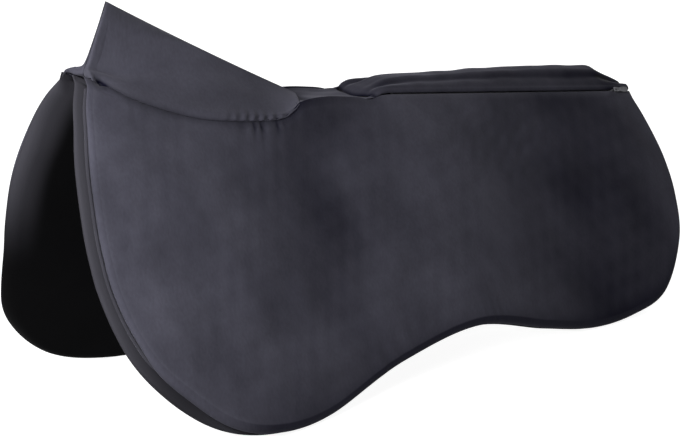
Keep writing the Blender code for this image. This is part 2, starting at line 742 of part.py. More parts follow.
def build_zip(side, sign):
    """A closed zip: two tapes, the toothed chain, its stops, the slider and its pull."""
    frame, length = zip_frame(sign)
    up = -sign
    chain_end = length - STOP_LENGTH - TAPE_GAP
    chain_start = STOP_LENGTH + TAPE_GAP

    # Teeth as a comb along the chain, extruded across it
    teeth = int((chain_end - chain_start) / TOOTH_PITCH)
    pitch = (chain_end - chain_start) / teeth
    comb = [(chain_end, -CHAIN_DEPTH), (chain_start, -CHAIN_DEPTH), (chain_start, -TOOTH_DEPTH)]
    for k in range(teeth):
        rise, fall = chain_start + (k + 0.25) * pitch, chain_start + (k + 0.75) * pitch
        comb += [(rise, -TOOTH_DEPTH), (rise, 0.0), (fall, 0.0), (fall, -TOOTH_DEPTH)]
    comb.append((chain_end, -TOOTH_DEPTH))
    place(flat_piece(side + "_zip_chain", [comb], CHAIN_HALF, UPRIGHT), frame, "zip_teeth")

    tapes = (("upper", up, UPPER_TAPE_EDGE), ("lower", -up, LOWER_TAPE_EDGE))
    for name, way, reach in tapes:
        near, far = sorted((way * (CHAIN_HALF + TAPE_GAP), way * reach))
        tape = box_piece(side + "_zip_tape_" + name, (0.0, near, -TAPE_DEPTH - TAPE_THICK),
                         (length, far, -TAPE_DEPTH))
        place(tape, frame, "zip_tape")
    for name, start in (("front", 0.0), ("rear", length - STOP_LENGTH)):
        stop = box_piece(side + "_zip_stop_" + name, (start, -CHAIN_HALF, -CHAIN_DEPTH),
                         (start + STOP_LENGTH, CHAIN_HALF, 0.0002), 0.0003)
        place(stop, frame, "zip_metal")

    slider_at = length - SLIDER_BACKSET
    slider_place = frame @ Matrix.Translation((slider_at, 0, 0))
    slider_pivot = add_empty(side + "_zip_slide", slider_place.translation)
    build_slider(side, slider_place, slider_pivot)
    pin_place = slider_place @ Matrix.Translation((0, 0, PIN_HEIGHT))
    pull_pivot = add_empty(side + "_pull_hinge", pin_place.translation - slider_pivot.location, slider_pivot)
    build_pull(side, pin_place, pull_pivot)


def build_slider(side, frame, pivot):
    """The slider behind the slit: a shouldered plate with two flanges, and a blade that carries the pull."""
    half = SLIDER_LENGTH / 2
    tail = 0.78 * SLIDER_HALF
    outline = [(-half, -0.6 * SLIDER_HALF), (-half, 0.6 * SLIDER_HALF), (-0.7 * half, SLIDER_HALF),
               (0.0, SLIDER_HALF), (half, tail), (half, -tail), (0.0, -SLIDER_HALF),
               (-0.7 * half, -SLIDER_HALF)]
    top = TAPE_GAP + SLIDER_PLATE
    low = -TAPE_DEPTH + TAPE_GAP
    body_half = (top - low) / 2
    lift = Matrix.Translation((0, 0, low + body_half))
    slider = flat_piece(side + "_zip_slider", [outline], body_half, lift)

    channel = cutter(side + "_slider_channel",
                     box_mesh((-SLIDER_LENGTH, -CHAIN_HALF - TAPE_GAP, low - 0.001),
                              (SLIDER_LENGTH, CHAIN_HALF + TAPE_GAP, TAPE_GAP)))
    foot = TAPE_GAP + SLIDER_PLATE / 2
    profile = [(-BLADE_FOOT, foot), (BLADE_FOOT, foot), (BLADE_FOOT, top + 0.0003)]
    profile += arc(BLADE_HEAD, PIN_HEIGHT, -15, 195, 9)
    profile.append((-BLADE_FOOT, top + 0.0003))
    blade = flat_piece(side + "_slider_blade", [profile, arc(BLADE_BORE, PIN_HEIGHT, 0, 330, 12)],
                       BLADE_HALF, UPRIGHT)
    as_cutter(blade)
    add_boolean(slider, channel, "DIFFERENCE")
    add_boolean(slider, blade, "UNION")
    place(slider, frame, "zip_metal", pivot)
    for tool in (channel, blade):
        tool.matrix_world = frame


def arc(radius, height, start, end, count):
    """Points on a circle round (0, height), from one angle to another in degrees."""
    turns = [math.radians(start + (end - start) * k / (count - 1)) for k in range(count)]
    return [(radius * math.cos(turn), height + radius * math.sin(turn)) for turn in turns]


def build_pull(side, frame, pivot):
    """The pull: a flat tab whose forked end holds a pin through the slider's blade."""
    tip, neck = PULL_LENGTH, 0.62 * PULL_HALF
    ear_in, ear_out = EAR_SIDES
    edge = [(0.0, ear_out), (0.22 * tip, ear_out), (0.36 * tip, neck), (0.55 * tip, PULL_HALF)]
    outline = [(x, -y) for x, y in edge]
    for k in range(7):
        turn = math.radians(-90 + 30 * k)
        outline.append((tip - PULL_HALF + PULL_HALF * math.cos(turn), PULL_HALF * math.sin(turn)))
    outline += edge[::-1]
    pull = flat_piece(side + "_zip_pull", [outline], 0.0005)
    ears = turned_cutter(side + "_pull_ears", EAR_RADIUS, ear_out)
    slot = cutter(side + "_pull_slot", box_mesh((-2 * EAR_RADIUS, -ear_in, -2 * EAR_RADIUS),
                                                (PULL_SLOT, ear_in, 2 * EAR_RADIUS)))
    pin = turned_cutter(side + "_pull_pin", PIN_RADIUS, (ear_in + ear_out) / 2)
    add_boolean(pull, ears, "UNION")
    add_boolean(pull, slot, "DIFFERENCE")
    add_boolean(pull, pin, "UNION")
    place(pull, frame, "zip_metal", pivot)
    for tool in (ears, slot, pin):
        tool.matrix_world = frame


def turned_cutter(name, radius, half_length):
    mesh = bmesh.new()
    bmesh.ops.create_cone(mesh, cap_ends=True, segments=14, radius1=radius, radius2=radius,
                          depth=2 * half_length)
    bmesh.ops.transform(mesh, matrix=UPRIGHT, verts=mesh.verts[:])
    return cutter(name, mesh)


def cutter(name, mesh):
    data = bpy.data.meshes.new(name)
    mesh.to_mesh(data)
    mesh.free()
    tool = bpy.data.objects.new(name, data)
    cutter_collection.objects.link(tool)
    tool.hide_render = True
    tool.display_type = "WIRE"
    return tool


def as_cutter(piece):
    pad_collection.objects.unlink(piece)
    cutter_collection.objects.link(piece)
    piece.hide_render = True
    piece.display_type = "WIRE"


def add_boolean(piece, tool, operation):
    step = piece.modifiers.new(tool.name, "BOOLEAN")
    step.operation = operation
    step.object = tool


for old in list(bpy.data.objects):
    bpy.data.objects.remove(old)
pad_collection = bpy.data.collections.new("correction_saddle_pad")
cutter_collection = bpy.data.collections.new("cutters")
bpy.context.scene.collection.children.link(pad_collection)
bpy.context.scene.collection.children.link(cutter_collection)
floor_cutter = cutter("floor_cutter", box_mesh((-LENGTH, -LENGTH, -0.05), (LENGTH, LENGTH, 0.0)))

for side_name, side_sign in SIDES:
    build_flap(side_name, side_sign)
    build_zip(side_name, side_sign)
build_tent()
build_spine()
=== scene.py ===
# Correction saddle pad: the photographed looks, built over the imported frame.
# Units are metres; +X runs to the horse's loins, +Z up, and the near side is at -Y.
import math

import bpy
import numpy as np
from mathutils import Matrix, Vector


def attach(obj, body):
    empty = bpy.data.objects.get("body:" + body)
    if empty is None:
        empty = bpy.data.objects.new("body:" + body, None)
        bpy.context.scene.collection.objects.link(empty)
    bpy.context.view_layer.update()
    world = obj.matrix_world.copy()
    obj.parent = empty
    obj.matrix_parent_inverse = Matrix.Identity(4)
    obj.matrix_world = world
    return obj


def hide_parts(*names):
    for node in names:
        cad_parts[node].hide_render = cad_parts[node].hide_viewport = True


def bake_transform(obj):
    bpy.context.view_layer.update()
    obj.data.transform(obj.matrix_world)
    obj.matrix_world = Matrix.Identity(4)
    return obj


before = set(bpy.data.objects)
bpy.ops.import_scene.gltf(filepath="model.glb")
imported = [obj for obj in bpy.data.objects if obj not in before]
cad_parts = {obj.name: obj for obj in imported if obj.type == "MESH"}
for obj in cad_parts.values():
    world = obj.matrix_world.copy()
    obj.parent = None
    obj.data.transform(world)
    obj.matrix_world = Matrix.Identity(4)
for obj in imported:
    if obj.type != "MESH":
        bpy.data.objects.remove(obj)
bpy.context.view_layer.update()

bodySigns = {"left": -1, "right": 1}

# How the pad is cut and draped: x from its front edge, v down a flap from the hinge line, n out of its face
cut = {
    "middle": 0.303,
    "hingeX": (0.0207, 0.5993),
    "hingeZ": (0.2614, 0.1774),
    "hingeY": 0.0225,
    "lean": (math.radians(22.4), math.radians(35.7)),
    "curvature": (0.02, 1.53),
    "swell": (0.0035, 0.080, 0.260, 0.070),
    "bow": ((-0.012, -0.0030), (0.006, 0.0014), (0.030, 0.0054), (0.075, 0.0066), (0.120, 0.0020),
            (0.145, -0.0008), (0.200, 0.0008)),
    "bowLength": 0.130,
    "hingeFall": -0.1437,  # sine of the hinge line's slope
    "turnFrom": 0.030, "turnTo": 0.085,
    "topGap": 0.0042,
    "leastZ": 0.0002,
    "front": ((0.0214, -0.0060), (0.0108, 0.018), (0.0001, 0.068), (-0.0020, 0.120), (0.0054, 0.178),
              (0.0220, 0.2200)),
    "bottom": ((0.0600, 0.2516), (0.1100, 0.2620), (0.1700, 0.2539), (0.2550, 0.2195), (0.3380, 0.1985),
               (0.4180, 0.2072), (0.4750, 0.2116), (0.5240, 0.2042), (0.5650, 0.1868)),
    "rear": ((0.5985, 0.1410), (0.6100, 0.1010), (0.6122, 0.0660), (0.6098, 0.0280), (0.6060, 0.0060)),
    "centreEdge": ((0.010, -0.0130), (0.0225, -0.0100), (0.038, -0.0050), (0.056, 0.0045), (0.080, 0.0128),
                   (0.112, 0.0205), (0.146, 0.0228), (0.174, 0.0228), (0.194, 0.0205), (0.206, 0.0145),
                   (0.214, 0.0092), (0.240, 0.0050), (0.268, 0.0052), (0.290, 0.0066), (0.314, 0.0028),
                   (0.345, 0.0022), (0.480, 0.0008), (0.590, -0.0004), (0.615, -0.0006)),
}
# The zip runs behind a slit between the flap and the spine strip, which gapes at its front end
zipLine = {"front": (0.314, 0.0025), "rear": (0.590, -0.0004), "startX": (0.284, 0.312), "slitHalf": 0.0008,
           "mouth": (0.287, 0.006, 0.0010), "behind": 0.0030, "fade": {"flap": 0.018, "strip": 0.030}}
layers = {"top": 0.014, "full": 0.020, "ramp": 0.055, "divider": 0.47}


def smoothStep(t):  # 3t^2 - 2t^3 between 0 and 1
    t = np.clip(t, 0.0, 1.0)
    return t * t * (3 - 2 * t)


def blendPair(pair, s):
    return pair[0] + (pair[1] - pair[0]) * s


def hill(x, middle, width):  # a bell: e to the minus square of the distance over the width
    return np.exp(-((x - middle) / width) ** 2)


def rampAt(value, facts):  # a smooth rise from (start, run, height)
    start, run, height = facts
    return height * smoothStep((value - start) / run)


def hillAt(value, facts):  # a hill from (place, reach, height)
    at, reach, height = facts
    return height * hill(value, at, reach)


def spotAt(a, b, facts):  # a hill both ways from (place, reach, place, reach, height)
    return facts[4] * hill(a, *facts[:2]) * hill(b, *facts[2:4])


def curveThrough(points, x):  # cubic pieces through the points, each slope taken from the two neighbours
    px, py = np.array(points, float).T
    slopes = np.empty(len(px))
    slopes[1:-1] = (py[2:] - py[:-2]) / (px[2:] - px[:-2])
    slopes[0] = (py[1] - py[0]) / (px[1] - px[0])
    slopes[-1] = (py[-1] - py[-2]) / (px[-1] - px[-2])
    i = np.clip(np.searchsorted(px, x) - 1, 0, len(px) - 2)
    width = px[i + 1] - px[i]
    t = np.clip((x - px[i]) / width, 0, 1)
    rise = (2 * t ** 3 - 3 * t ** 2 + 1) * py[i] + (3 * t ** 2 - 2 * t ** 3) * py[i + 1]
    return rise + ((t ** 3 - 2 * t ** 2 + t) * slopes[i] + (t ** 3 - t ** 2) * slopes[i + 1]) * width


pathSteps = 40


def roundPath(points, steps=pathSteps):  # each piece is a cubic shaped by the four points round it
    p = np.array(points, float)
    p = np.vstack([2 * p[0] - p[1], p, 2 * p[-1] - p[-2]])
    t = (np.arange(steps) / steps)[:, None]
    pieces = []
    for a, b, c, d in zip(p[:-3], p[1:-2], p[2:-1], p[3:]):
        pieces.append(0.5 * (2 * b + (c - a) * t + (2 * a - 5 * b + 4 * c - d) * t ** 2
                             + (3 * b - a - 3 * c + d) * t ** 3))
    return np.vstack(pieces + [p[-2:-1]])


def sharedPoints(path, shares):  # points at given shares of a path's length
    runs = np.concatenate([[0], np.cumsum(np.linalg.norm(np.diff(path, axis=0), axis=1))])
    return np.stack([np.interp(shares * runs[-1], runs, path[:, k]) for k in range(path.shape[1])], axis=1)


def evenPoints(path, count):  # count + 1 points at equal distances along a path
    return sharedPoints(path, np.linspace(0, 1, count + 1))


def softNoise(a, b, seed, pitch, count=7):
    # A sum of plane waves in random directions, 0.7 to 1.6 pitches long, from about -1 to 1
    draw = np.random.default_rng(seed)
    total = np.zeros(np.broadcast(a, b).shape)
    for _ in range(count):
        turn, phase = draw.uniform(0, 2 * math.pi, 2)
        length = pitch * draw.uniform(0.7, 1.6)
        total += np.sin(2 * math.pi * (a * math.cos(turn) + b * math.sin(turn)) / length + phase)
    return total / math.sqrt(count * 2)


def noiseAt(a, b, facts, more=0):  # soft noise from (seed, pitch, height)
    seed, pitch, height = facts
    return height * softNoise(a, b, seed + more, pitch)


def flapThickness(v):
    return layers["top"] + (layers["full"] - layers["top"]) * smoothStep(v / layers["ramp"])


def drape(x, v, n, sign):
    # An arc down from the hinge line: its lean lessens with v by the curvature; n is added square to it
    s = (x - cut["hingeX"][0]) / (cut["hingeX"][1] - cut["hingeX"][0])
    lean, curvature = blendPair(cut["lean"], s), blendPair(cut["curvature"], s)
    angle = lean - curvature * v
    height, crest, pitch, fade = cut["swell"]
    out = n + height * np.cos(2 * math.pi * (x - crest) / pitch) * smoothStep(v / fade)
    bow = curveThrough(cut["bow"], v) * (1 - smoothStep(x / cut["bowLength"]))
    y = cut["hingeY"] + bow + (np.cos(angle) - np.cos(lean)) / curvature + out * np.cos(angle)
    z = blendPair(cut["hingeZ"], s) - (np.sin(lean) - np.sin(angle)) / curvature + out * np.sin(angle)
    return np.stack(np.broadcast_arrays(x - cut["middle"], sign * y, z), axis=-1)


def zipV(x):
    run = (x - zipLine["front"][0]) / (zipLine["rear"][0] - zipLine["front"][0])
    return blendPair((zipLine["front"][1], zipLine["rear"][1]), run)


def alongZip(x, piece):  # 0 in front of the zip, 1 beside it
    return smoothStep((x - zipLine["startX"][0]) / zipLine["fade"][piece])


def seamV(x, side):  # v of the flap's top edge (side 1) or of the centre cloth's edge (side -1)
    share = smoothStep((x - zipLine["startX"][0]) / (zipLine["startX"][1] - zipLine["startX"][0]))
    at, reach, gape = zipLine["mouth"]
    middle = (1 - share) * curveThrough(cut["centreEdge"], x) + share * zipV(x)
    return middle + side * (share * zipLine["slitHalf"] + gape * hill(x, at, reach))


# Meshes

def markPoints(piece, name, values):  # one number on each point of a piece, for its material to read
    mark = piece.data.attributes.new(name, "FLOAT", "POINT")
    mark.data.foreach_set("value", values.ravel().astype(np.float32))


def sheetMesh(name, points, quads, smooth=True):
    mesh = bpy.data.meshes.new(name)
    mesh.from_pydata(points.reshape(-1, 3).tolist(), [], quads.tolist())
    mesh.validate()
    mesh.polygons.foreach_set("use_smooth", np.full(len(mesh.polygons), smooth))
    piece = bpy.data.objects.new(name, mesh)
    bpy.context.scene.collection.objects.link(piece)
    return piece


def gridQuads(rows, columns, closed=False):  # faces of a rows x columns grid of points, counted row by row
    j, i = np.meshgrid(np.arange(rows - 1), np.arange(columns if closed else columns - 1), indexing="ij")
    k = (i + 1) % columns
    return np.stack([j * columns + i, (j + 1) * columns + i, (j + 1) * columns + k, j * columns + k],
                    axis=-1).reshape(-1, 4)


def shellMesh(name, outer, inner, flip=False):
    # Two grids of the same size, back to back, closed by a band round their four edges
    rows, columns = outer.shape[:2]
    quads = gridQuads(rows, columns)
    size = rows * columns
    index = np.arange(size).reshape(rows, columns)
    rim = np.concatenate([index[0], index[1:, -1], index[-1, -2::-1], index[-2:0:-1, 0]])
    after = np.roll(rim, -1)
    band = np.stack([rim, after, after + size, rim + size], axis=-1)
    quads = np.vstack([quads, quads[:, ::-1] + size, band])
    if flip:
        quads = quads[:, ::-1]
    return sheetMesh(name, np.concatenate([outer.reshape(-1, 3), inner.reshape(-1, 3)]), quads)


def tubeMesh(name, path, radius, sides=10, tip=0.02):
    # Rings round each point of a path, square to its run, drawn together almost to a point at both ends
    along = np.gradient(path, axis=0)
    along /= np.linalg.norm(along, axis=1)[:, None]
    side = np.cross(along, (0, 0, 1.0))
    side /= np.linalg.norm(side, axis=1)[:, None]
    up = np.cross(side, along)
    radii = np.full(len(path), radius)
    radii[0] = radii[-1] = radius * tip
    turn = np.linspace(0, 2 * math.pi, sides, endpoint=False)
    ring = np.cos(turn)[None, :, None] * side[:, None] + np.sin(turn)[None, :, None] * up[:, None]
    return sheetMesh(name, path[:, None] + ring * radii[:, None, None], gridQuads(len(path), sides, True))


def scatterMesh(name, points, quads, matrices):
    # One small closed shape repeated by a stack of 4 x 4 matrices
    solid = np.concatenate([points, np.ones((len(points), 1))], axis=1)
    every = np.einsum("kij,pj->kpi", matrices, solid)[..., :3]
    shift = (np.arange(len(matrices)) * len(points))[:, None, None]
    return sheetMesh(name, every, (quads[None] + shift).reshape(-1, 4))


def roundedBar(length, width, height, ends=0.55, full=0.36):
    # A bar along X: rings of eight points, small at each end and full between, closed by faces at the ends
    stations = np.array([(-0.5, ends), (-full, 1.0), (full, 1.0), (0.5, ends)])
    turn = np.radians(45) * np.arange(1, 9)
    flat = np.stack([np.cos(turn) * width / 2, np.sin(turn) * height / 2], axis=1)
    rings = [np.column_stack([np.full(8, at * length), flat * size]) for at, size in stations]
    quads = gridQuads(4, 8, True)[:, ::-1]
    caps = np.array([[0, 1, 2, 3], [0, 3, 4, 7], [4, 5, 6, 7], [27, 26, 25, 24], [31, 28, 27, 24],
                     [31, 30, 29, 28]])
    return np.vstack(rings), np.vstack([quads, caps])


# Finishes

finishes = {
    # The cover's per-channel shares scale its colour by the mark of painted shade and light over random tone
    "coverCloth": {"colour": (0.0483, 0.0475, 0.0628), "toneAndPaintedLight": (0.63, 0.63, 0.58), "mottle": 0.22,
                   "rough": 0.78, "sheen": 0.07, "fibre": 520, "bump": 0.22},
    # Painted shade: the lining's base colour is far darker than its cloth, whose own colour is edgeColour
    "liningCloth": {"colour": (0.0020, 0.0020, 0.0023), "mottle": 0.20, "rough": 0.92, "sheen": 0.005,
                    "fibre": 600, "bump": 0.20, "edgeColour": (0.040, 0.039, 0.047)},
    "pipingCloth": {"colour": (0.034, 0.033, 0.041), "mottle": 0.12, "rough": 0.82, "sheen": 0.15,
                    "fibre": 1100, "bump": 0.18},
    "pocketCloth": {"colour": (0.060, 0.060, 0.066), "mottle": 0.10, "rough": 0.90, "sheen": 0.05,
                    "fibre": 800, "bump": 0.15},
    "zipTape": {"colour": (0.020, 0.020, 0.024), "mottle": 0.10, "rough": 0.85, "sheen": 0.05,
                "fibre": 1500, "bump": 0.25},
}
clothLook = {"patches": (22, 4), "fibreDetail": 3, "fibreStretch": (1, 1, 0.45), "fibreShare": 0.45,
             "span": (0.45, 0.98), "bumpHeight": 0.0006, "gloss": 0.04, "sheenRough": 0.45,
             "sheenTint": (0.86, 0.85, 1.0, 1)}
foams = {"baseFoam": {"colour": (0.45, 0.45, 0.43), "cells": 700},
         "shimFoam": {"colour": (0.08, 0.16, 0.30), "cells": 1100}}
foamLook = {"dark": 0.6, "span": (0.05, 0.45), "bump": 0.5, "bumpHeight": 0.0008, "rough": 0.95}
hardFinishes = {
    "zipTeeth": {"colour": (0.018, 0.018, 0.020), "rough": 0.38, "metallic": 0.0, "scuff": 0.6},
    "zipMetal": {"colour": (0.055, 0.055, 0.060), "rough": 0.42, "metallic": 0.9, "scuff": 0.8},
}
wearLook = {"noise": (260, 5), "span": (0.35, 0.75)}


def newMaterial(name):
    material = bpy.data.materials.new(name)
    material.use_nodes = True
    nodes, links = material.node_tree.nodes, material.node_tree.links
    return material, nodes, links, nodes["Principled BSDF"]


def noiseNode(nodes, links, scale, detail, stretch=(1, 1, 1)):
    coords, mapping, noise = (nodes.new("ShaderNode" + kind) for kind in ("TexCoord", "Mapping", "TexNoise"))
    mapping.inputs["Scale"].default_value = stretch
    noise.inputs["Scale"].default_value = scale
    noise.inputs["Detail"].default_value = detail
    links.new(coords.outputs["Object"], mapping.inputs["Vector"])
    links.new(mapping.outputs["Vector"], noise.inputs["Vector"])
    return noise


def shadeRamp(nodes, links, value, span, dark, light):  # one colour to the other over a span of the value
    ramp = nodes.new("ShaderNodeValToRGB")
    for stop, place, colour in zip(ramp.color_ramp.elements, span, (dark, light)):
        stop.position, stop.color = place, (*colour, 1)
    links.new(value, ramp.inputs["Fac"])
    return ramp.outputs["Color"]


def bumpFrom(nodes, links, shader, value, strength, height):
    bump = nodes.new("ShaderNodeBump")
    bump.inputs["Strength"].default_value = strength
    bump.inputs["Distance"].default_value = height
    links.new(value, bump.inputs["Height"])
    links.new(bump.outputs["Normal"], shader.inputs["Normal"])


def toneAndPaintedLightColour(nodes, links, colour, shares):
    # The colour times 1 + (2 m - 1) times a share for each of red, green and blue, where m is the mark of
    # painted shade and light over random tone; darker painted shade is also bluer
    toneAndLightNode, span, shaded = (nodes.new("ShaderNode" + kind) for kind in ("Attribute", "VectorMath", "VectorMath"))
    toneAndLightNode.attribute_name, span.operation, shaded.operation = "toneAndPaintedLight", "MULTIPLY_ADD", "MULTIPLY"
    span.inputs[1].default_value = 2 * np.array(shares)
    span.inputs[2].default_value = 1 - np.array(shares)
    links.new(toneAndLightNode.outputs["Fac"], span.inputs[0])
    links.new(colour, shaded.inputs[0])
    links.new(span.outputs["Vector"], shaded.inputs[1])
    return shaded.outputs["Vector"]


def edgedColour(nodes, links, colour, edgeColour):  # the cloth's own colour where the piece's edgeBand is 1, over a base colour that is painted shade
    band, mix = nodes.new("ShaderNodeAttribute"), nodes.new("ShaderNodeMix")
    band.attribute_name, mix.data_type = "edgeBand", "RGBA"
    mix.inputs["B"].default_value = (*edgeColour, 1)
    links.new(band.outputs["Fac"], mix.inputs["Factor"])
    links.new(colour, mix.inputs["A"])
    return mix.outputs["Result"]


def clothMaterial(name, facts):
    # Colour: soft patches and fine fibre between a darker and a lighter shade; bump: the fibre alone
    material, nodes, links, shader = newMaterial(name)
    base = np.array(facts["colour"])
    patches = noiseNode(nodes, links, *clothLook["patches"])
    fibre = noiseNode(nodes, links, facts["fibre"], clothLook["fibreDetail"], clothLook["fibreStretch"])
    amount = nodes.new("ShaderNodeMath")
    amount.operation = "MULTIPLY_ADD"
    amount.inputs[1].default_value = clothLook["fibreShare"]
    links.new(fibre.outputs["Fac"], amount.inputs[0])
    links.new(patches.outputs["Fac"], amount.inputs[2])
    colour = shadeRamp(nodes, links, amount.outputs[0], clothLook["span"], base * (1 - facts["mottle"]),
                       base * (1 + facts["mottle"]))
    if "toneAndPaintedLight" in facts:
        colour = toneAndPaintedLightColour(nodes, links, colour, facts["toneAndPaintedLight"])
    if "edgeColour" in facts:
        colour = edgedColour(nodes, links, colour, facts["edgeColour"])
    links.new(colour, shader.inputs["Base Color"])
    bumpFrom(nodes, links, shader, fibre.outputs["Fac"], facts["bump"], clothLook["bumpHeight"])
    shader.inputs["Roughness"].default_value = facts["rough"]
    shader.inputs["Specular IOR Level"].default_value = clothLook["gloss"]
    shader.inputs["Sheen Weight"].default_value = facts["sheen"]
    shader.inputs["Sheen Roughness"].default_value = clothLook["sheenRough"]
    shader.inputs["Sheen Tint"].default_value = clothLook["sheenTint"]
    return material


def foamMaterial(name, facts):
    material, nodes, links, shader = newMaterial(name)
    coords, pores = nodes.new("ShaderNodeTexCoord"), nodes.new("ShaderNodeTexVoronoi")
    pores.inputs["Scale"].default_value = facts["cells"]
    links.new(coords.outputs["Object"], pores.inputs["Vector"])
    dark = [foamLook["dark"] * c for c in facts["colour"]]
    colour = shadeRamp(nodes, links, pores.outputs["Distance"], foamLook["span"], dark, facts["colour"])
    links.new(colour, shader.inputs["Base Color"])
    bumpFrom(nodes, links, shader, pores.outputs["Distance"], foamLook["bump"], foamLook["bumpHeight"])
    shader.inputs["Roughness"].default_value = foamLook["rough"]
    return material


def hardMaterial(name, facts):
    material, nodes, links, shader = newMaterial(name)
    wear = noiseNode(nodes, links, *wearLook["noise"])
    worn = [min(1, c * (1 + facts["scuff"])) for c in facts["colour"]]
    colour = shadeRamp(nodes, links, wear.outputs["Fac"], wearLook["span"], facts["colour"], worn)
    links.new(colour, shader.inputs["Base Color"])
    shader.inputs["Roughness"].default_value = facts["rough"]
    shader.inputs["Metallic"].default_value = facts["metallic"]
    return material


materials = {}
for make, kinds in ((clothMaterial, finishes), (foamMaterial, foams), (hardMaterial, hardFinishes)):
    for name, facts in kinds.items():
        materials[name] = make(name, facts)


def dress(piece, material):
    piece.data.materials.clear()
    piece.data.materials.append(materials[material])
    return piece


def hangOnFlap(piece):
    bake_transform(piece)


# Flaps: outer cover, lining, piping in the groove, foam, pocket divider and shims

flap = {
    "columns": 250, "rows": 130, "crowding": 0.35, "edgeRoll": 0.0070, "rollSteps": 9,
    "coverDepth": (0.35, 0.24), "liningDepth": (0.375, 0.330),
    "turnIn": {"cover": ((0.94, 0.055), (0.78, 0.080), (0.55, 0.085)),
               "lining": ((0.94, 0.055), (0.78, 0.080), (0.55, 0.085), (-0.9, 0.085))},
    "flare": {"cover": -0.0025, "lining": 0.0040}, "frontFade": ((0.030, 0.095), (0.182, 0.222)),
    "clothThick": 0.0010, "corner": (0.034, 0.232, 0.046), "cornerInset": 0.0080, "cornerDepth": 0.20,
    "underX": (0.065, 0.050, 1.0), "underV": (0.13, 0.04, 1.0), "seeds": {"left": 0, "right": 4},
}
# Painted shade and light on the cover over its random tone: 0.5 is the cloth's own shade; painted bands and
# dark places as (place, reach, shade), patches of random tone as (seed, pitch, shade)
coverPaintedLightAndTone = {
    "plain": 0.5, "least": -0.28, "rearEnd": (0.575, 0.035, 0.16),
    "leaningBand": (0.208, 0.050, 0.34), "bandLean": (0.2, 0.08), "bandFade": (0.10, 0.10, 0.7),
    "bands": ((0.335, 0.045, 0.10), (0.508, 0.084, -0.47)),
    "patches": ((5, 0.075, 0.10), (15, 0.018, 0.05)), "patchEdge": 0.02,
    "edgeHighlight": (0.004, 0.004, 0.30), "edgeHighlightX": (0.06, 0.08, 1.0), "underEdge": (0.0, 0.012, 0.34),
    "underRoll": 0.62, "seam": (0.0, 0.0042, 0.36), "slit": (0.0, 0.0016, 0.14),
    "dimple": (0.0345, 0.0034, 0.0, 0.0030, 0.8), "pucker": (0.004, 0.0060, 0.0050, 0.55),
}
# How the cover's cloth stands off its smooth form
coverForm = {
    "taper": 0.0020, "taperReach": 0.030, "taperFade": (0.09, 0.10, 0.65),
    "dimple": (0.0345, 0.0040, 0.0, 0.0045, 0.0040), "seam": (0.0040, 0.0030, 0.0012),
    "slitRidge": (0.0024, 0.0018, 0.0004), "slitDip": (0.0012, 0.0003),
    "broad": ((11, 0.120, 0.0010), (31, 0.034, 0.00035)), "broadFade": (0.03, 0.02),
    "creases": {"slope": (0.8, 0.9), "wander": 0.004, "seed": 41, "wanderPitch": 0.06, "pitch": 0.015,
                "height": 0.00030, "x": (0.430, 0.080), "v": (0.045, 0.035)},
}
# Where the cloth puckers, as (centre x, reach along x, wavelength, height, how deep it goes)
seamPuckers = ((0.168, 0.024, 0.0110, 0.0017, 0.010), (0.060, 0.020, 0.0150, 0.0007, 0.009))
waistPuckers = ((0.352, 0.016, 0.0085, 0.0006, 0.020), (0.245, 0.030, 0.0160, 0.0005, 0.020))
puckerWander = {"size": 0.0025, "rate": 230, "turn": 1.2, "start": 0.005, "waistSlant": 0.12}
# The lining: its depth at the seam, its unevenness, and the band along its rolled edge where the cloth's own
# colour shows; outside it, and where the band fades, the lining's colour is painted shade
liningForm = {"seamDepth": 0.0078, "seamRise": (0.001, 0.016), "relief": (71, 0.060, 0.0005),
              "reliefFade": (0.02, 0.03), "bandReach": {"left": 0.0012, "right": 0.022},
              "bandFade": {"left": 0, "right": 1.0}, "fadeV": (0.060, 0.100), "underBand": 0.8,
              "cornerBand": 0.55}


def flapSides(inset):
    # The outline moved in square to itself, as its front, bottom and rear runs
    path = roundPath(cut["front"] + cut["bottom"] + cut["rear"])
    first = pathSteps * (len(cut["front"]) - 1)
    second = pathSteps * (len(cut["front"]) + len(cut["bottom"]) - 1)
    downwards = crowded(np.linspace(0, 1, flap["rows"] + 1))
    parts = (sharedPoints(path[:first + 1], downwards),
             sharedPoints(path[first:second + 1], np.linspace(0, 1, flap["columns"] + 1)),
             sharedPoints(path[second:], 1 - downwards[::-1]))
    chain = np.vstack([parts[0], parts[1][1:], parts[2][1:]])
    along = np.gradient(chain, axis=0)
    along /= np.linalg.norm(along, axis=1)[:, None]
    outward = np.stack([-along[:, 1], along[:, 0]], axis=1)
    return chain - outward * inset, outward, chain


def flapPatch(chain, topV, drop=0.0, span=(0.0, 1.0), columns=None, rows=None):
    # Coons patch: the two pairs of opposite sides are blended and the blend of the four corners taken off
    topRows, topColumns = flap["rows"], flap["columns"]
    front = chain[:topRows + 1].copy()
    foot = chain[topRows:topRows + topColumns + 1]
    rear = chain[topRows + topColumns:][::-1].copy()
    for run in (front, rear):
        run[0, 1] = topV(run[0, 0]) + drop
    columns, rows = columns or topColumns, rows or topRows
    u = np.linspace(*span, columns + 1)[None, :, None]
    s = np.linspace(0, 1, rows + 1)[:, None, None]
    w = crowded(s)

    def at(points, t):
        where = t.ravel() * (len(points) - 1)
        return np.stack([np.interp(where, np.arange(len(points)), points[:, k]) for k in (0, 1)], axis=1)

    topX = front[0, 0] + (rear[0, 0] - front[0, 0]) * u[0, :, 0]
    top = np.stack([topX, topV(topX) + drop], axis=1)[None]
    left, right = at(front, s)[:, None], at(rear, s)[:, None]
    low = at(foot, u)[None]
    corners = ((1 - u) * (1 - w) * front[0] + u * (1 - w) * rear[0]
               + (1 - u) * w * foot[0] + u * w * foot[-1])
    return (1 - w) * top + w * low + (1 - u) * left + u * right - corners


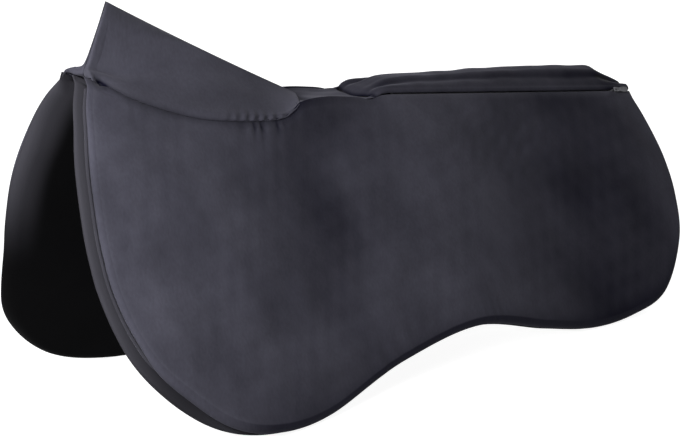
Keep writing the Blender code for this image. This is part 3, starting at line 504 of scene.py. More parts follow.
def edgeDistance(points, chain):  # distance of each pattern point from the outline, one row at a time
    result = np.empty(points.shape[:2])
    for row, line in enumerate(points):
        gaps = line[:, None] - chain[None]
        result[row] = np.sqrt((gaps ** 2).sum(-1).min(1))
    return result


def rimIndex(rows, columns):  # the grid's front column down, bottom row back and rear column up
    index = np.arange((rows + 1) * (columns + 1)).reshape(rows + 1, columns + 1)
    return np.concatenate([index[:, 0], index[-1, 1:], index[-2::-1, -1]])


def cornerShare(points):  # 1 at the foot of the front lobe, where a wide band of the lining shows
    x, v, reach = flap["corner"]
    return hill(np.hypot(points[:, 0] - x, points[:, 1] - v), 0.0, reach)


def underShare(x, v):  # 1 along the lower edge, which turns under and takes little light
    return rampAt(x, flap["underX"]) * rampAt(v, flap["underV"])


def puckerWave(x, below, wave, depth, seed):  # a slanting sine along the seam whose pitch wanders
    wander = puckerWander["size"] * np.sin(x * puckerWander["rate"] + seed)
    return np.sin(2 * math.pi * (x + wander) / wave + puckerWander["turn"] * below / depth)


def coverPaintedLightAndToneMark(x, v, edge, below, seed):
    # Painted shade and light in broad bands across the flap, the first one leaning and fainter low down, and
    # a lighter rear end; soft patches of random tone between them
    slope, level = coverPaintedLightAndTone["bandLean"]
    upper = 1 - rampAt(v, coverPaintedLightAndTone["bandFade"])
    toneAndPaintedLight = coverPaintedLightAndTone["plain"] - hillAt(x + slope * (v - level), coverPaintedLightAndTone["leaningBand"]) * upper
    toneAndPaintedLight = toneAndPaintedLight + sum(hillAt(x, band) for band in coverPaintedLightAndTone["bands"]) + rampAt(x, coverPaintedLightAndTone["rearEnd"])
    patches = sum(noiseAt(x, v, facts, seed) for facts in coverPaintedLightAndTone["patches"])
    toneAndPaintedLight = toneAndPaintedLight + patches * smoothStep(edge / coverPaintedLightAndTone["patchEdge"])
    # A painted highlight along the front edge, painted shade where the lower edge turns under
    toneAndPaintedLight = toneAndPaintedLight + hillAt(edge, coverPaintedLightAndTone["edgeHighlight"]) * (1 - rampAt(x, coverPaintedLightAndTone["edgeHighlightX"]))
    toneAndPaintedLight = toneAndPaintedLight - hillAt(edge, coverPaintedLightAndTone["underEdge"]) * underShare(x, v)
    # Painted shade in the seam, beside the zip's slit, in the dimple and in the seam's puckers
    beside = alongZip(x, "flap")
    toneAndPaintedLight = toneAndPaintedLight - hillAt(below, coverPaintedLightAndTone["seam"]) * (1 - beside) - hillAt(below, coverPaintedLightAndTone["slit"]) * beside
    toneAndPaintedLight = toneAndPaintedLight - spotAt(x, below, coverPaintedLightAndTone["dimple"])
    at, reach, wave, _, depth = seamPuckers[0]
    shift, deep, reachV, shade = coverPaintedLightAndTone["pucker"]
    hollow = np.clip(-puckerWave(x, below, wave, depth, seed), 0, 1)
    toneAndPaintedLight = toneAndPaintedLight - spotAt(x, below, (at + shift, reach, deep, reachV, shade)) * hollow
    return np.maximum(toneAndPaintedLight, coverPaintedLightAndTone["least"])


def coverRelief(x, v, edge, below, seed):
    # Thinner towards the edge, most of all in front; dimple and groove at the seam, ridge beside the slit
    taper = coverForm["taper"] * (1 - rampAt(x, coverForm["taperFade"]))
    height = -taper * (1 - smoothStep((edge - flap["edgeRoll"]) / coverForm["taperReach"]))
    beside = alongZip(x, "flap")
    height = height - spotAt(x, below, coverForm["dimple"]) - hillAt(below, coverForm["seam"]) * (1 - beside)
    run, deep = coverForm["slitDip"]
    height = height + beside * (hillAt(below, coverForm["slitRidge"]) - deep * (1 - smoothStep(below / run)))
    # Puckers under the seam and above the waist's edge, each a wave that dies away
    for at, reach, wave, size, depth in seamPuckers:
        fade = np.exp(-below / depth) * smoothStep(below / puckerWander["start"])
        height = height + size * puckerWave(x, below, wave, depth, seed) * hill(x, at, reach) * fade
    for at, reach, wave, size, depth in waistPuckers:
        ripple = np.sin(2 * math.pi * (x + puckerWander["waistSlant"] * edge) / wave + seed)
        height = height + size * ripple * hill(x, at, reach) * np.exp(-edge / depth)
    # Soft unevenness, and slanting creases below the strip
    broad = sum(noiseAt(x, v, facts, seed) for facts in coverForm["broad"])
    facts = coverForm["creases"]
    wander = facts["wander"] * softNoise(x, v, facts["seed"] + seed, facts["wanderPitch"])
    creases = np.sin(2 * math.pi * (facts["slope"][0] * x + facts["slope"][1] * v + wander) / facts["pitch"])
    broad = broad + facts["height"] * creases * hill(x, *facts["x"]) * hill(v, *facts["v"])
    edgeRun, seamRun = coverForm["broadFade"]
    return height + broad * smoothStep(edge / edgeRun) * smoothStep(below / seamRun)


def frontShare(points):  # 1 along the front edge, where the lining stands out past the cover, 0 elsewhere
    shares = [1 - smoothStep((points[:, k] - start) / (end - start))
              for k, (start, end) in enumerate(flap["frontFade"])]
    return shares[0] * shares[1]


def crowded(s):  # even shares from 0 to 1 drawn together towards 0, where the seams are
    return flap["crowding"] * s + (1 - flap["crowding"]) * s ** 2


def rolledPoints(chainIn, outward, base, total, name):
    # Quarter ellipse over the edge, then a short turn inwards to the groove, as rings of places and depths
    front = frontShare(chainIn)
    depth = blendPair(flap[name + "Depth"], front)
    if name == "lining":
        depth = depth + flap["cornerDepth"] * cornerShare(chainIn)
    roll = (flap["edgeRoll"] + flap["flare"][name] * front)[:, None]
    rings = []
    for turn in np.linspace(0, 1, flap["rollSteps"] + 1)[1:]:
        angle = turn * math.pi / 2
        out, down = math.sin(angle), 1 - math.cos(angle)
        rings.append((out, base + (depth * total - base) * down))
    for out, extra in flap["turnIn"][name]:
        rings.append((out, (depth + extra) * total))
    return [(chainIn + outward * roll * out, down) for out, down in rings]


def liningDepth(x, v, edge, below):  # rises from the full thickness to meet the centre's lining at the seam
    shift, run = liningForm["seamRise"]
    deep = liningForm["seamDepth"]
    depth = deep + (flapThickness(v) - deep) * smoothStep((below + shift) / run)
    seamRun, edgeRun = liningForm["reliefFade"]
    fade = smoothStep(below / seamRun) * smoothStep(edge / edgeRun)
    return noiseAt(x, v, liningForm["relief"]) * fade - depth


def edgeBand(side, edge, every):  # how much of the lining's light edge colour, its cloth's own, each point has; it gives way to painted shade inwards from the edge, low down on the right flap, along the lower edge and at the front lobe's foot
    start, run = liningForm["fadeV"]
    band = 1 - smoothStep((edge - flap["edgeRoll"]) / liningForm["bandReach"][side])
    band = np.concatenate([band.ravel(), np.ones(len(every) - band.size)])
    band = band * (1 - liningForm["bandFade"][side] * smoothStep((every[:, 1] - start) / run))
    band = band * (1 - liningForm["underBand"] * underShare(every[:, 0], every[:, 1]))
    return band * (1 - liningForm["cornerBand"] * cornerShare(every))


def clothPiece(name, side, inner):
    # The flap's outer or inner cloth: a patch over its face, then the rings that roll over its edge
    sign, seed = bodySigns[side], flap["seeds"][side]
    rows, columns = flap["rows"], flap["columns"]
    chainIn, outward, chain = flapSides(flap["edgeRoll"])
    if not inner:
        drawnIn = outward * flap["cornerInset"] * cornerShare(chain)[:, None]
        chainIn, chain = chainIn - drawnIn, chain - drawnIn
    points = flapPatch(chainIn, lambda x: seamV(x, 1))
    edge = edgeDistance(points, chain)
    x, v = points[..., 0], points[..., 1]
    below = v - seamV(x, 1)
    n = liningDepth(x, v, edge, below) if inner else coverRelief(x, v, edge, below, seed)
    rim = rimIndex(rows, columns)
    flat = np.stack([x, v, n], axis=-1).reshape(-1, 3)
    rimThick = flapThickness(np.maximum(chainIn[:, 1], 0))
    base = flat[rim, 2]
    own = rimThick + base if inner else -base
    rings = []
    for place, down in rolledPoints(flat[rim, :2], outward, own, rimThick, "lining" if inner else "cover"):
        rings.append(np.column_stack([place, down - rimThick if inner else -down]))
    every = np.vstack([flat] + rings)
    ids = np.vstack([rim] + [len(flat) + k * len(rim) + np.arange(len(rim)) for k in range(len(rings))])
    strip = np.stack([ids[:-1, :-1], ids[:-1, 1:], ids[1:, 1:], ids[1:, :-1]], axis=-1).reshape(-1, 4)
    quads = np.vstack([gridQuads(rows + 1, columns + 1), strip[:, ::-1]])
    if (sign > 0) != inner:
        quads = quads[:, ::-1]
    places = drape(every[:, 0], every[:, 1], every[:, 2], sign)
    places[:, 2] = np.maximum(places[:, 2], cut["leastZ"])
    piece = sheetMesh(name, places, quads)
    if inner:
        markPoints(piece, "edgeBand", edgeBand(side, edge, every))
    else:
        # Painted shade and light on the cover over its random tone, and painted shade on the rolled rim where
        # the lower edge turns under
        toneAndPaintedLight = coverPaintedLightAndToneMark(x, v, edge, below, seed).ravel()
        rolled = every[toneAndPaintedLight.size:]
        rolledPaintedShade = coverPaintedLightAndTone["plain"] - coverPaintedLightAndTone["underRoll"] * underShare(rolled[:, 0], rolled[:, 1])
        markPoints(piece, "toneAndPaintedLight", np.concatenate([toneAndPaintedLight, rolledPaintedShade]))
    wall = piece.modifiers.new("clothThickness", "SOLIDIFY")
    wall.thickness, wall.offset = flap["clothThick"], -1
    return piece


slab = {"width": 0.18, "drawIn": 0.35}  # how wide a slab counts for its rounding, and how far its edge closes


def slabPiece(name, side, inset, drop, depths, span=(0.0, 1.0), columns=120, rows=60, rounding=0.0):
    # A closed slab between two depths; its faces draw together within the rounding of its edge
    sign = bodySigns[side]
    chainIn = flapSides(inset)[0]
    points = flapPatch(chainIn, lambda x: curveThrough(cut["centreEdge"], x) + cut["topGap"], drop, span,
                       columns, rows)
    x, v = points[..., 0], points[..., 1]
    outer, inner = (depth(v) for depth in depths)
    if rounding:
        u = np.linspace(0, 1, columns + 1)[None, :]
        w = np.linspace(0, 1, rows + 1)[:, None]
        nearest = np.minimum(np.minimum(u, 1 - u) * np.ptp(x[0]), np.minimum(w, 1 - w) * slab["width"])
        pinch = (1 - np.sqrt(np.clip(nearest / rounding, 0, 1))) * slab["drawIn"] * (inner - outer)
        outer, inner = outer + pinch, inner - pinch
    faces = [drape(x, v, -outer, sign), drape(x, v, -inner, sign)]
    return shellMesh(name, *faces, flip=sign > 0)


piping = {"inset": 0.0030, "radius": 0.0013, "deep": 0.5, "frontRise": 0.05, "endsLeft": 3}


def pipingPiece(name, side):  # a thin round edging in the groove between the two rolls
    chainIn, outward, chain = flapSides(piping["inset"])
    chainIn = chainIn - outward * flap["cornerInset"] * cornerShare(chain)[:, None]
    thick = flapThickness(np.maximum(chainIn[:, 1], 0))
    kept = slice(piping["endsLeft"], -piping["endsLeft"])
    deep = piping["deep"] - piping["frontRise"] * frontShare(chainIn[kept])
    path = drape(chainIn[kept, 0], chainIn[kept, 1], -deep * thick[kept], bodySigns[side])
    return tubeMesh(name, path, piping["radius"])


def patternSize(inset, allowance):
    # Width, length and area (half the sum of the cross products of the outline's points), let out all round
    chain = flapSides(inset)[0]
    ring = np.vstack([chain, [(chain[-1, 0], 0.0), (chain[0, 0], 0.0)]])
    after = np.roll(ring, -1, axis=0)
    area = abs((ring[:, 0] * after[:, 1] - ring[:, 1] * after[:, 0]).sum()) / 2
    edge = np.linalg.norm(np.diff(chain, axis=0), axis=1).sum()
    length, width = np.ptp(ring, axis=0)
    return (float(width + allowance), float(length + 2 * allowance)), float(area + edge * allowance)


def dividerDepth(v):
    return layers["divider"] * flapThickness(v)


fillings = {
    "divider": {"inset": 0.0070, "drop": 0.0030,
                "depths": (dividerDepth, lambda v: dividerDepth(v) + 0.0008)},
    "foam": {"inset": 0.0080, "drop": 0.0055, "rounding": 0.004,
             "depths": (lambda v: dividerDepth(v) + 0.0014, lambda v: flapThickness(v) - 0.0026)},
    "shim": {"inset": 0.0150, "drop": 0.0100, "rounding": 0.005, "columns": 50, "rows": 50,
             "depths": (lambda v: 0.0036, lambda v: dividerDepth(v) - 0.0009)},
}
shimSpans = {"front": (0.0, 0.335), "middle": (0.345, 0.655), "rear": (0.665, 1.0)}
liningTurn = 0.009  # cloth that turns over the edge, all round

for side in bodySigns:
    cover = dress(clothPiece(side + "OuterCover", side, False), "coverCloth")
    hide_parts(side + "_outer_cover")
    lining = dress(clothPiece(side + "Lining", side, True), "liningCloth")
    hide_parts(side + "_lining")
    edging = dress(pipingPiece(side + "EdgePiping", side), "pipingCloth")
    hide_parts(side + "_edge_piping")
    divider = slabPiece(side + "PocketDivider", side, **fillings["divider"])
    dress(divider, "pocketCloth")
    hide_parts(side + "_pocket_divider")
    foam = dress(slabPiece(side + "BaseFoam", side, **fillings["foam"]), "baseFoam")
    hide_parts(side + "_base_foam")
    padding = [cover, foam]
    for name, span in shimSpans.items():
        shim = slabPiece(side + "Shim" + name.capitalize(), side, span=span, **fillings["shim"])
        dress(shim, "shimFoam")
        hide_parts(side + "_shim_" + name)
        padding.append(shim)
    for piece in [cover, lining, edging, divider] + padding[1:]:
        hangOnFlap(piece)
    for cloth, held, inset, turn in ((lining, "stretched", 0.0, liningTurn),
                                     (divider, "laid", fillings["divider"]["inset"], 0.0)):
        flat, area = patternSize(inset, turn)
print("flaps made")


# Withers tent: two panels that meet at the ridge, the hem along their front edge, and the lining under both

tent = {"peak": (0.0530, 0.3188), "notch": (0.2325, 0.2241), "sag": 0.0014, "frontX": 0.0260, "rearX": 0.214,
        "thick": 0.005, "leastThick": 0.0004, "split": 0.0003, "pinchEnd": 0.50, "pinchPull": 8.0,
        "foot": (0.74, 0.12, 0.0036), "shoulder": 0.0078, "lap": 0.0014,
        "lapSpan": (0.88, 0.97), "grid": (80, 190), "ends": (0.004, 0.997), "seeds": {"left": 0, "right": 3},
        "fill": 0.6}
# Heights on the tent as (place or start, reach or run, height); spots are the fold off the dimple, the dimple
# and the rise above them
tentDents = {"crown": (0.0, 0.3, 0.0010), "ridge": (0.0, 0.03, 0.0004), "puff": (0.90, 0.07, 0.0014),
             "puffFrom": (0.15, 0.3, 1.0), "rearRoll": (0.985, 0.015, 0.0014), "lap": (0.95, 0.03, 0.0002),
             "spots": ((0.068, 0.045, 0.93, 0.07, -0.0016), (0.047, 0.020, 0.98, 0.065, -0.0046),
                       (0.06, 0.12, 0.76, 0.09, 0.0008)),
             "pucker": {"pitch": 0.055, "drift": 2.0, "rate": 9, "u": (0.76, 0.14, 0.0009),
                        "w": (0.72, 0.2, 1.0), "end": 0.02}, "noise": (51, 0.45, 0.00035)}
# Painted shade on it in the same way, over its random tone; spots are the dimple and the puckers
tentPaintedLightAndTone = {"plain": 0.62, "noise": (61, 0.30, 0.05), "seam": (1.0, 0.030, 0.30),
             "seamFrom": (0.0, 0.1, 1.0), "rear": (1.0, 0.020, 0.20),
             "spots": ((0.049, 0.022, 0.970, 0.055, 1.6), (0.80, 0.16, 0.90, 0.08, 0.16))}


def tentForm(u, w):
    # A weighted cubic from the ridge to the seam; near the front it is drawn in to the fin's foot and comes
    # down over the shoulder in the flap's own plane
    ridge = np.stack([blendPair((tent["peak"][0], tent["notch"][0]), u) - cut["middle"],
                      np.full_like(u, -tent["split"]),
                      blendPair((tent["peak"][1], tent["notch"][1]), u) - 4 * tent["sag"] * u * (1 - u)], -1)
    x = blendPair((tent["frontX"], tent["rearX"]), u)
    seam = drape(x, curveThrough(cut["centreEdge"], x) + tent["lap"], 0.0, -1)
    pinch = (1 - smoothStep(u / tent["pinchEnd"]))[..., None]
    share, width, lift = tent["foot"]
    foot = np.stack([blendPair((ridge[..., 0], seam[..., 0]), share), seam[..., 1] * width,
                     seam[..., 2] + lift], -1)
    shoulder = drape(x, curveThrough(cut["centreEdge"], x) + tent["lap"] - tent["shoulder"], 0.0, -1)
    pull = (2 * ridge + seam) / 3 * (1 - pinch) + foot * pinch
    handle = (ridge + 2 * seam) / 3 * (1 - pinch) + shoulder * pinch
    w = w[..., None]
    weights = ((1 - w) ** 3, 3 * w * (1 - w) ** 2 * (1 + tent["pinchPull"] * pinch),
               3 * w ** 2 * (1 - w) * (1 + pinch), w ** 3)
    places = (ridge, pull, handle, seam)
    return sum(place * weight for place, weight in zip(places, weights)) / sum(weights)


def tentOut(u, w):  # way out of the left panel, turning into the flap's own at the seam under the fin
    step = 1e-3
    along = tentForm(u + step, w) - tentForm(u - step, w)
    down = tentForm(u, w + step) - tentForm(u, w - step)
    out = np.cross(down, along)
    out /= np.linalg.norm(out, axis=-1)[..., None]
    x = blendPair((tent["frontX"], tent["rearX"]), u)
    v = curveThrough(cut["centreEdge"], x)
    flapOut = drape(x, v, 1.0, -1) - drape(x, v, 0.0, -1)
    share = (w ** 3)[..., None]
    out = out * (1 - share) + flapOut * share
    return out / np.linalg.norm(out, axis=-1)[..., None]


def tentSurface(u, w, height):
    points = tentForm(u, w) + tentOut(u, w) * height[..., None]
    points[..., 1] = np.minimum(points[..., 1], -tent["split"])
    return points


def tentRelief(u, w, seed):
    # A soft crown, a puffed lower edge, a rolled rear edge, the spots, puckers, and the lap over the cover
    crown = np.sin(math.pi * w)
    height = rampAt(u, tentDents["crown"]) * crown + hillAt(w, tentDents["ridge"])
    height = height + hillAt(w, tentDents["puff"]) * rampAt(u, tentDents["puffFrom"])
    height = height + sum(spotAt(u, w, spot) for spot in tentDents["spots"])
    height = height - rampAt(u, tentDents["rearRoll"])
    facts = tentDents["pucker"]
    ripple = np.sin(2 * math.pi * u / facts["pitch"] + facts["drift"] * np.sin(facts["rate"] * u + seed))
    fade = rampAt(w, facts["w"]) * smoothStep((1 - w) / facts["end"])
    height = height + ripple * hillAt(u, facts["u"]) * fade
    return height + noiseAt(u, w, tentDents["noise"], seed) * crown + rampAt(w, tentDents["lap"])


def tentPaintedLightAndToneMark(u, w, seed):  # random tone, with painted shade in the seam, the dimple and the puckers, and at the rear edge
    toneAndPaintedLight = tentPaintedLightAndTone["plain"] + noiseAt(u, w, tentPaintedLightAndTone["noise"], seed)
    toneAndPaintedLight = toneAndPaintedLight - hillAt(w, tentPaintedLightAndTone["seam"]) * rampAt(u, tentPaintedLightAndTone["seamFrom"]) - hillAt(u, tentPaintedLightAndTone["rear"])
    return np.maximum(toneAndPaintedLight - sum(spotAt(u, w, spot) for spot in tentPaintedLightAndTone["spots"]), coverPaintedLightAndTone["least"])


def otherSide(points):
    return points * np.array([1, -1, 1])


def placed(name, side, outer, inner):
    if side == "right":
        return shellMesh(name, otherSide(outer), otherSide(inner))
    return shellMesh(name, outer, inner, flip=True)


def gridOf(rows, columns, spanW, spanU):
    w, u = np.meshgrid(np.linspace(*spanW, rows + 1), np.linspace(*spanU, columns + 1), indexing="ij")
    return u, w


# The hem's section as (along the panel, out of it): outer leg, round the front edge, inner leg
hem = {
    "section": ((0.0098, -0.0010), (0.0080, -0.0001), (0.0050, 0.0004), (0.0006, 0.0007), (-0.0010, 0.0004),
                (-0.0016, -0.0012), (-0.0016, -0.0038), (-0.0010, -0.0055), (0.0006, -0.0062),
                (0.0070, -0.0060)),
    "points": 40, "rows": 80, "foot": 0.96, "atU": 0.0075, "shortLegs": (0.70, 0.8), "sunk": (0.85, 0.5),
    "inner": (0.55, 0.0011), "toneAndPaintedLight": 0.66, "flat": (0.016, 0.100), "area": 0.0014,
}


def hemGrid():  # the section down the front edge; its legs shorten and its height lessens towards the seam
    section = evenPoints(np.array(hem["section"]), hem["points"])
    w = np.linspace(0, hem["foot"], hem["rows"])[:, None]
    span = np.linalg.norm(tentForm(np.ones_like(w), w) - tentForm(np.zeros_like(w), w), axis=-1)
    (start, share), (sinkStart, sink) = hem["shortLegs"], hem["sunk"]
    shorter = 1 - share * smoothStep((w - start) / (hem["foot"] - start))
    legs = np.where(section[None, :, 0] > 0, shorter, 1)
    u = hem["atU"] + section[None, :, 0] * legs / span
    w = np.broadcast_to(w, u.shape)
    height = np.broadcast_to(section[None, :, 1], u.shape)
    return u, w, height * (1 - sink * smoothStep((w - sinkStart) / (hem["foot"] - sinkStart)))


for side in bodySigns:
    seed = tent["seeds"][side]
    u, w = gridOf(*tent["grid"], (0, 1), tent["ends"])
    w = 1 - crowded(1 - w)
    outer = tentSurface(u, w, tentRelief(u, w, seed))
    start, end = tent["lapSpan"]
    thinning = 1 - smoothStep((w - start) / (end - start))
    under = np.minimum(-tent["thick"] * thinning, tentRelief(u, w, 0) - tent["leastThick"])
    panel = placed(side + "WithersPanel", side, outer, tentSurface(u, w, under))
    dress(panel, "coverCloth")
    markPoints(panel, "toneAndPaintedLight", np.tile(tentPaintedLightAndToneMark(u, w, seed).ravel(), 2))
    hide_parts("withers_panel_" + side)
    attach(panel, "centre")

    u, w, height = hemGrid()
    share, drop = hem["inner"]
    faces = tentSurface(u, w, height), tentSurface(u, w, height * share - drop)
    band = placed(side + "WithersHem", side, *faces)
    dress(band, "coverCloth")
    markPoints(band, "toneAndPaintedLight", np.full(len(band.data.vertices), hem["toneAndPaintedLight"]))
    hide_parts("withers_hem_" + side)
    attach(band, "centre")


tentLining = {"reach": 0.90, "depths": (0.0062, 0.0074), "grid": (60, 89), "ends": (0.16, 0.97),
              "halvings": 20, "flat": (0.115, 0.155), "area": 0.0115}


def liningUnderTent(u, t, depth):
    # Down each side from where the offset faces cross the middle plane, found by halving
    def under(w):
        return tentForm(u, w) - tentOut(u, w) * depth

    crossed, reach = np.zeros_like(u), np.full_like(u, tentLining["reach"])
    for _ in range(tentLining["halvings"]):
        middle = (crossed + reach) / 2
        past = under(middle)[..., 1] > 0
        crossed, reach = np.where(past, middle, crossed), np.where(past, reach, middle)
    points = under(reach + (tentLining["reach"] - reach) * np.abs(t))
    points[..., 1] = np.minimum(points[..., 1], 0) * np.where(t > 0, -1, 1) * (np.abs(t) > 1e-9)
    return points


u, t = gridOf(*tentLining["grid"], (-1, 1), tentLining["ends"])
outer, inner = (liningUnderTent(u, t, depth) for depth in tentLining["depths"])
withersLining = dress(shellMesh("withersLining", outer, inner), "liningCloth")
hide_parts("withers_lining")
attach(withersLining, "centre")
print("withers tent made")


# Spine strip and its lining

spine = {
    "crest": ((0.225, -0.0088), (0.250, -0.0070), (0.288, -0.0054), (0.298, -0.0010), (0.322, 0.0078),
              (0.381, 0.0116), (0.437, 0.0154), (0.511, 0.0188), (0.560, 0.0189), (0.570, 0.0185),
              (0.576, 0.0162), (0.584, 0.0130), (0.602, 0.0060)),
    "tuck": (0.288, 0.294), "frontX": 0.2275, "rearX": 0.602, "sweep": 0.018, "thick": 0.003,
    "edgeThick": 0.0011, "edgeFade": (0.16, 0.2), "halfArc": 0.028, "lipReach": (0.13, 0.42),
    "grid": (110, 420), "fill": 0.5, "fold": (0.42, 0.05, 19, 1.0), "acrossScale": 0.03,
}
# Heights, and painted shade and light over random tone, on the strip as (place or start, reach or run,
# amount). The place is an x for foldDeeper, frontDip, rear and rearEnd, and else a way behind the tuck, in
# from a slit or past the fold.
stripForms = {"inFront": -0.0012, "step": (0.0, 0.006, 0.0012), "tuck": (-0.0006, 0.0018, 0.0014),
              "swell": (0.009, 0.006, 0.0008), "lip": (0.09, 0.05, 0.0004), "lipEdge": (0.04, 0.0003),
              "foldDepth": 0.0008, "foldDeeper": (0.34, 0.2, 0.0010), "foldReach": 0.10,
              "besideFold": (0.22, 0.12, 0.0007), "frontDip": (0.232, 0.004, 0.0015),
              "noise": (91, 0.030, 0.0005), "noiseFrom": (0.2, 0.2, 1.0)}
stripPaintedLightAndTone = {"inFront": 0.14, "step": (0.0, 0.004, 0.14), "fold": (0.0, 0.16, 0.22),
              "tuck": (0.0, 0.0022, 0.4), "behindTuck": (0.020, 0.022, 0.20), "behindReach": 0.3,
              "slit": (0.0, 0.030, 0.10), "besideSlit": (0.10, 0.06, 0.10), "rear": (0.500, 0.05, 0.22),
              "rearEnd": (0.578, 0.012, 0.30), "noise": (95, 0.020, 0.06)}
stripLining = {"grid": (40, 200), "reach": 0.60, "ends": (0.010, 0.004), "depths": (0.0010, 0.0022),
               "flat": (0.029, 0.362)}


def stripForm(x, t):
    # Across the spine a parabola whose top follows the crest line; beside each slit the flap's own plane
    v = seamV(x, -1)
    edge = drape(x, v, 0.0, 1)
    s = (x - cut["hingeX"][0]) / (cut["hingeX"][1] - cut["hingeX"][0])
    crest = blendPair(cut["hingeZ"], s) + curveThrough(spine["crest"], x)
    arch = np.stack([x - cut["middle"], edge[..., 1] * t,
                     edge[..., 2] + (crest - edge[..., 2]) * (1 - t * t)], -1)
    inward = 1 - np.abs(t)
    lip = drape(x, v - inward * spine["halfArc"], 0.0, 1)
    lip[..., 1] *= np.where(t < 0, -1, 1)
    start, end = spine["lipReach"]
    share = (1 - alongZip(x, "strip") * (1 - smoothStep((inward - start) / (end - start))))[..., None]
    return lip * (1 - share) + arch * share


def stripSurface(x, t, height):
    step = 1e-4
    across = stripForm(x, t + step) - stripForm(x, t - step)
    along = stripForm(x + step, t) - stripForm(x - step, t)
    out = np.cross(along, across)
    out /= np.linalg.norm(out, axis=-1)[..., None]
    return stripForm(x, t) + out * height[..., None]


def stripGrid(rows, columns, reach, ends):
    t, run = np.meshgrid(np.linspace(-reach, reach, rows + 1), np.linspace(0, 1, columns + 1), indexing="ij")
    start = ends[0] - spine["sweep"] * np.abs(t)
    return t, start + (ends[1] - start) * run


def stripPlaces(x, t):  # share of zip, way in from the slit, way behind the tuck, and way in from the fold
    middle, sway, rate, phase = spine["fold"]
    inward = 1 - np.abs(t)
    behind = x - blendPair(spine["tuck"], np.abs(t) ** 1.5)
    return alongZip(x, "strip"), inward, behind, inward - middle - sway * np.sin(rate * x + phase)


def stripRelief(x, t):
    # A step and a tuck where it joins the tent, a light ridge above each slit, and a fold along each half
    beside, inward, behind, past = stripPlaces(x, t)
    height = stripForms["inFront"] + rampAt(behind, stripForms["step"])
    height = height - hillAt(behind, stripForms["tuck"]) + hillAt(behind, stripForms["swell"])
    run, deep = stripForms["lipEdge"]
    lip = hillAt(inward, stripForms["lip"]) - deep * smoothStep((run - inward) / run)
    depth = stripForms["foldDepth"] + rampAt(x, stripForms["foldDeeper"])
    fold = hillAt(past, stripForms["besideFold"]) - depth * hill(past, 0.0, stripForms["foldReach"])
    height = height + beside * (lip + fold) - hillAt(x, stripForms["frontDip"])
    noise = noiseAt(x, t * spine["acrossScale"], stripForms["noise"])
    return height + noise * rampAt(inward, stripForms["noiseFrom"])


def stripPaintedLightAndToneMark(x, t):  # painted shade in the fold, round the tuck, beside the slit, towards the rear and on the steep rear end, and a painted highlight a little in from each slit, over random tone
    beside, inward, behind, past = stripPlaces(x, t)
    toneAndPaintedLight = stripPaintedLightAndTone["inFront"] + rampAt(behind, stripPaintedLightAndTone["step"]) - hillAt(behind, stripPaintedLightAndTone["tuck"])
    toneAndPaintedLight = toneAndPaintedLight - hillAt(behind, stripPaintedLightAndTone["behindTuck"]) * smoothStep(inward / stripPaintedLightAndTone["behindReach"])
    slit = hillAt(inward, stripPaintedLightAndTone["besideSlit"]) - hillAt(inward, stripPaintedLightAndTone["slit"])
    toneAndPaintedLight = toneAndPaintedLight + beside * (slit - hillAt(past, stripPaintedLightAndTone["fold"]))
    toneAndPaintedLight = toneAndPaintedLight - rampAt(x, stripPaintedLightAndTone["rear"]) - hillAt(x, stripPaintedLightAndTone["rearEnd"])
    return toneAndPaintedLight + noiseAt(x, t * spine["acrossScale"], stripPaintedLightAndTone["noise"])


t, x = stripGrid(*spine["grid"], 1.0, (spine["frontX"], spine["rearX"]))
outer = stripSurface(x, t, stripRelief(x, t))
start, run = spine["edgeFade"]
deep = blendPair((spine["edgeThick"], spine["thick"]), smoothStep((1 - np.abs(t) - start) / run))
spineStrip = shellMesh("spineStrip", outer, stripSurface(x, t, -deep))
dress(spineStrip, "coverCloth")
markPoints(spineStrip, "toneAndPaintedLight", np.tile(stripPaintedLightAndToneMark(x, t).ravel(), 2))
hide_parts("spine_strip")
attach(spineStrip, "centre")

frontIn, rearIn = stripLining["ends"]
ends = (spine["frontX"] + frontIn, spine["rearX"] - rearIn)
t, x = stripGrid(*stripLining["grid"], stripLining["reach"], ends)
outer, inner = (stripSurface(x, t, np.full_like(x, -spine["thick"] - deep)) for deep in stripLining["depths"])
spineLining = dress(shellMesh("spineLining", outer, inner), "liningCloth")
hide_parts("spine_lining")
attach(spineLining, "centre")
print("spine strip made")


# Zips: tapes and two rows of interlocking teeth; stops, slider and pull keep their solids with a finish

zipFacts = {"pitch": 0.0016, "toothLength": 0.0010, "toothWidth": 0.0021, "toothHeight": 0.0013,
            "rowsApart": 0.0009, "endLeft": 0.003, "deep": 0.0009, "tapeIn": 0.0012,
            "tapes": {"Upper": 0.0060, "Lower": 0.0042},
            "tapeGrid": (9, 280), "tapeDepths": (-0.0011, -0.0016), "wave": (0.021, 0.00012)}


def zipAxes(sign):
    start, end = (drape(*zipLine[name], -zipLine["behind"], sign) for name in ("front", "rear"))
    along = end - start
    length = np.linalg.norm(along)
    along = along / length
    x, v = ((a + b) / 2 for a, b in zip(zipLine["front"], zipLine["rear"]))
    out = drape(x, v, 1.0, sign) - drape(x, v, 0.0, sign)
    across = np.cross(out, along)
    across /= np.linalg.norm(across)
    return start, along, across, np.cross(along, across), length


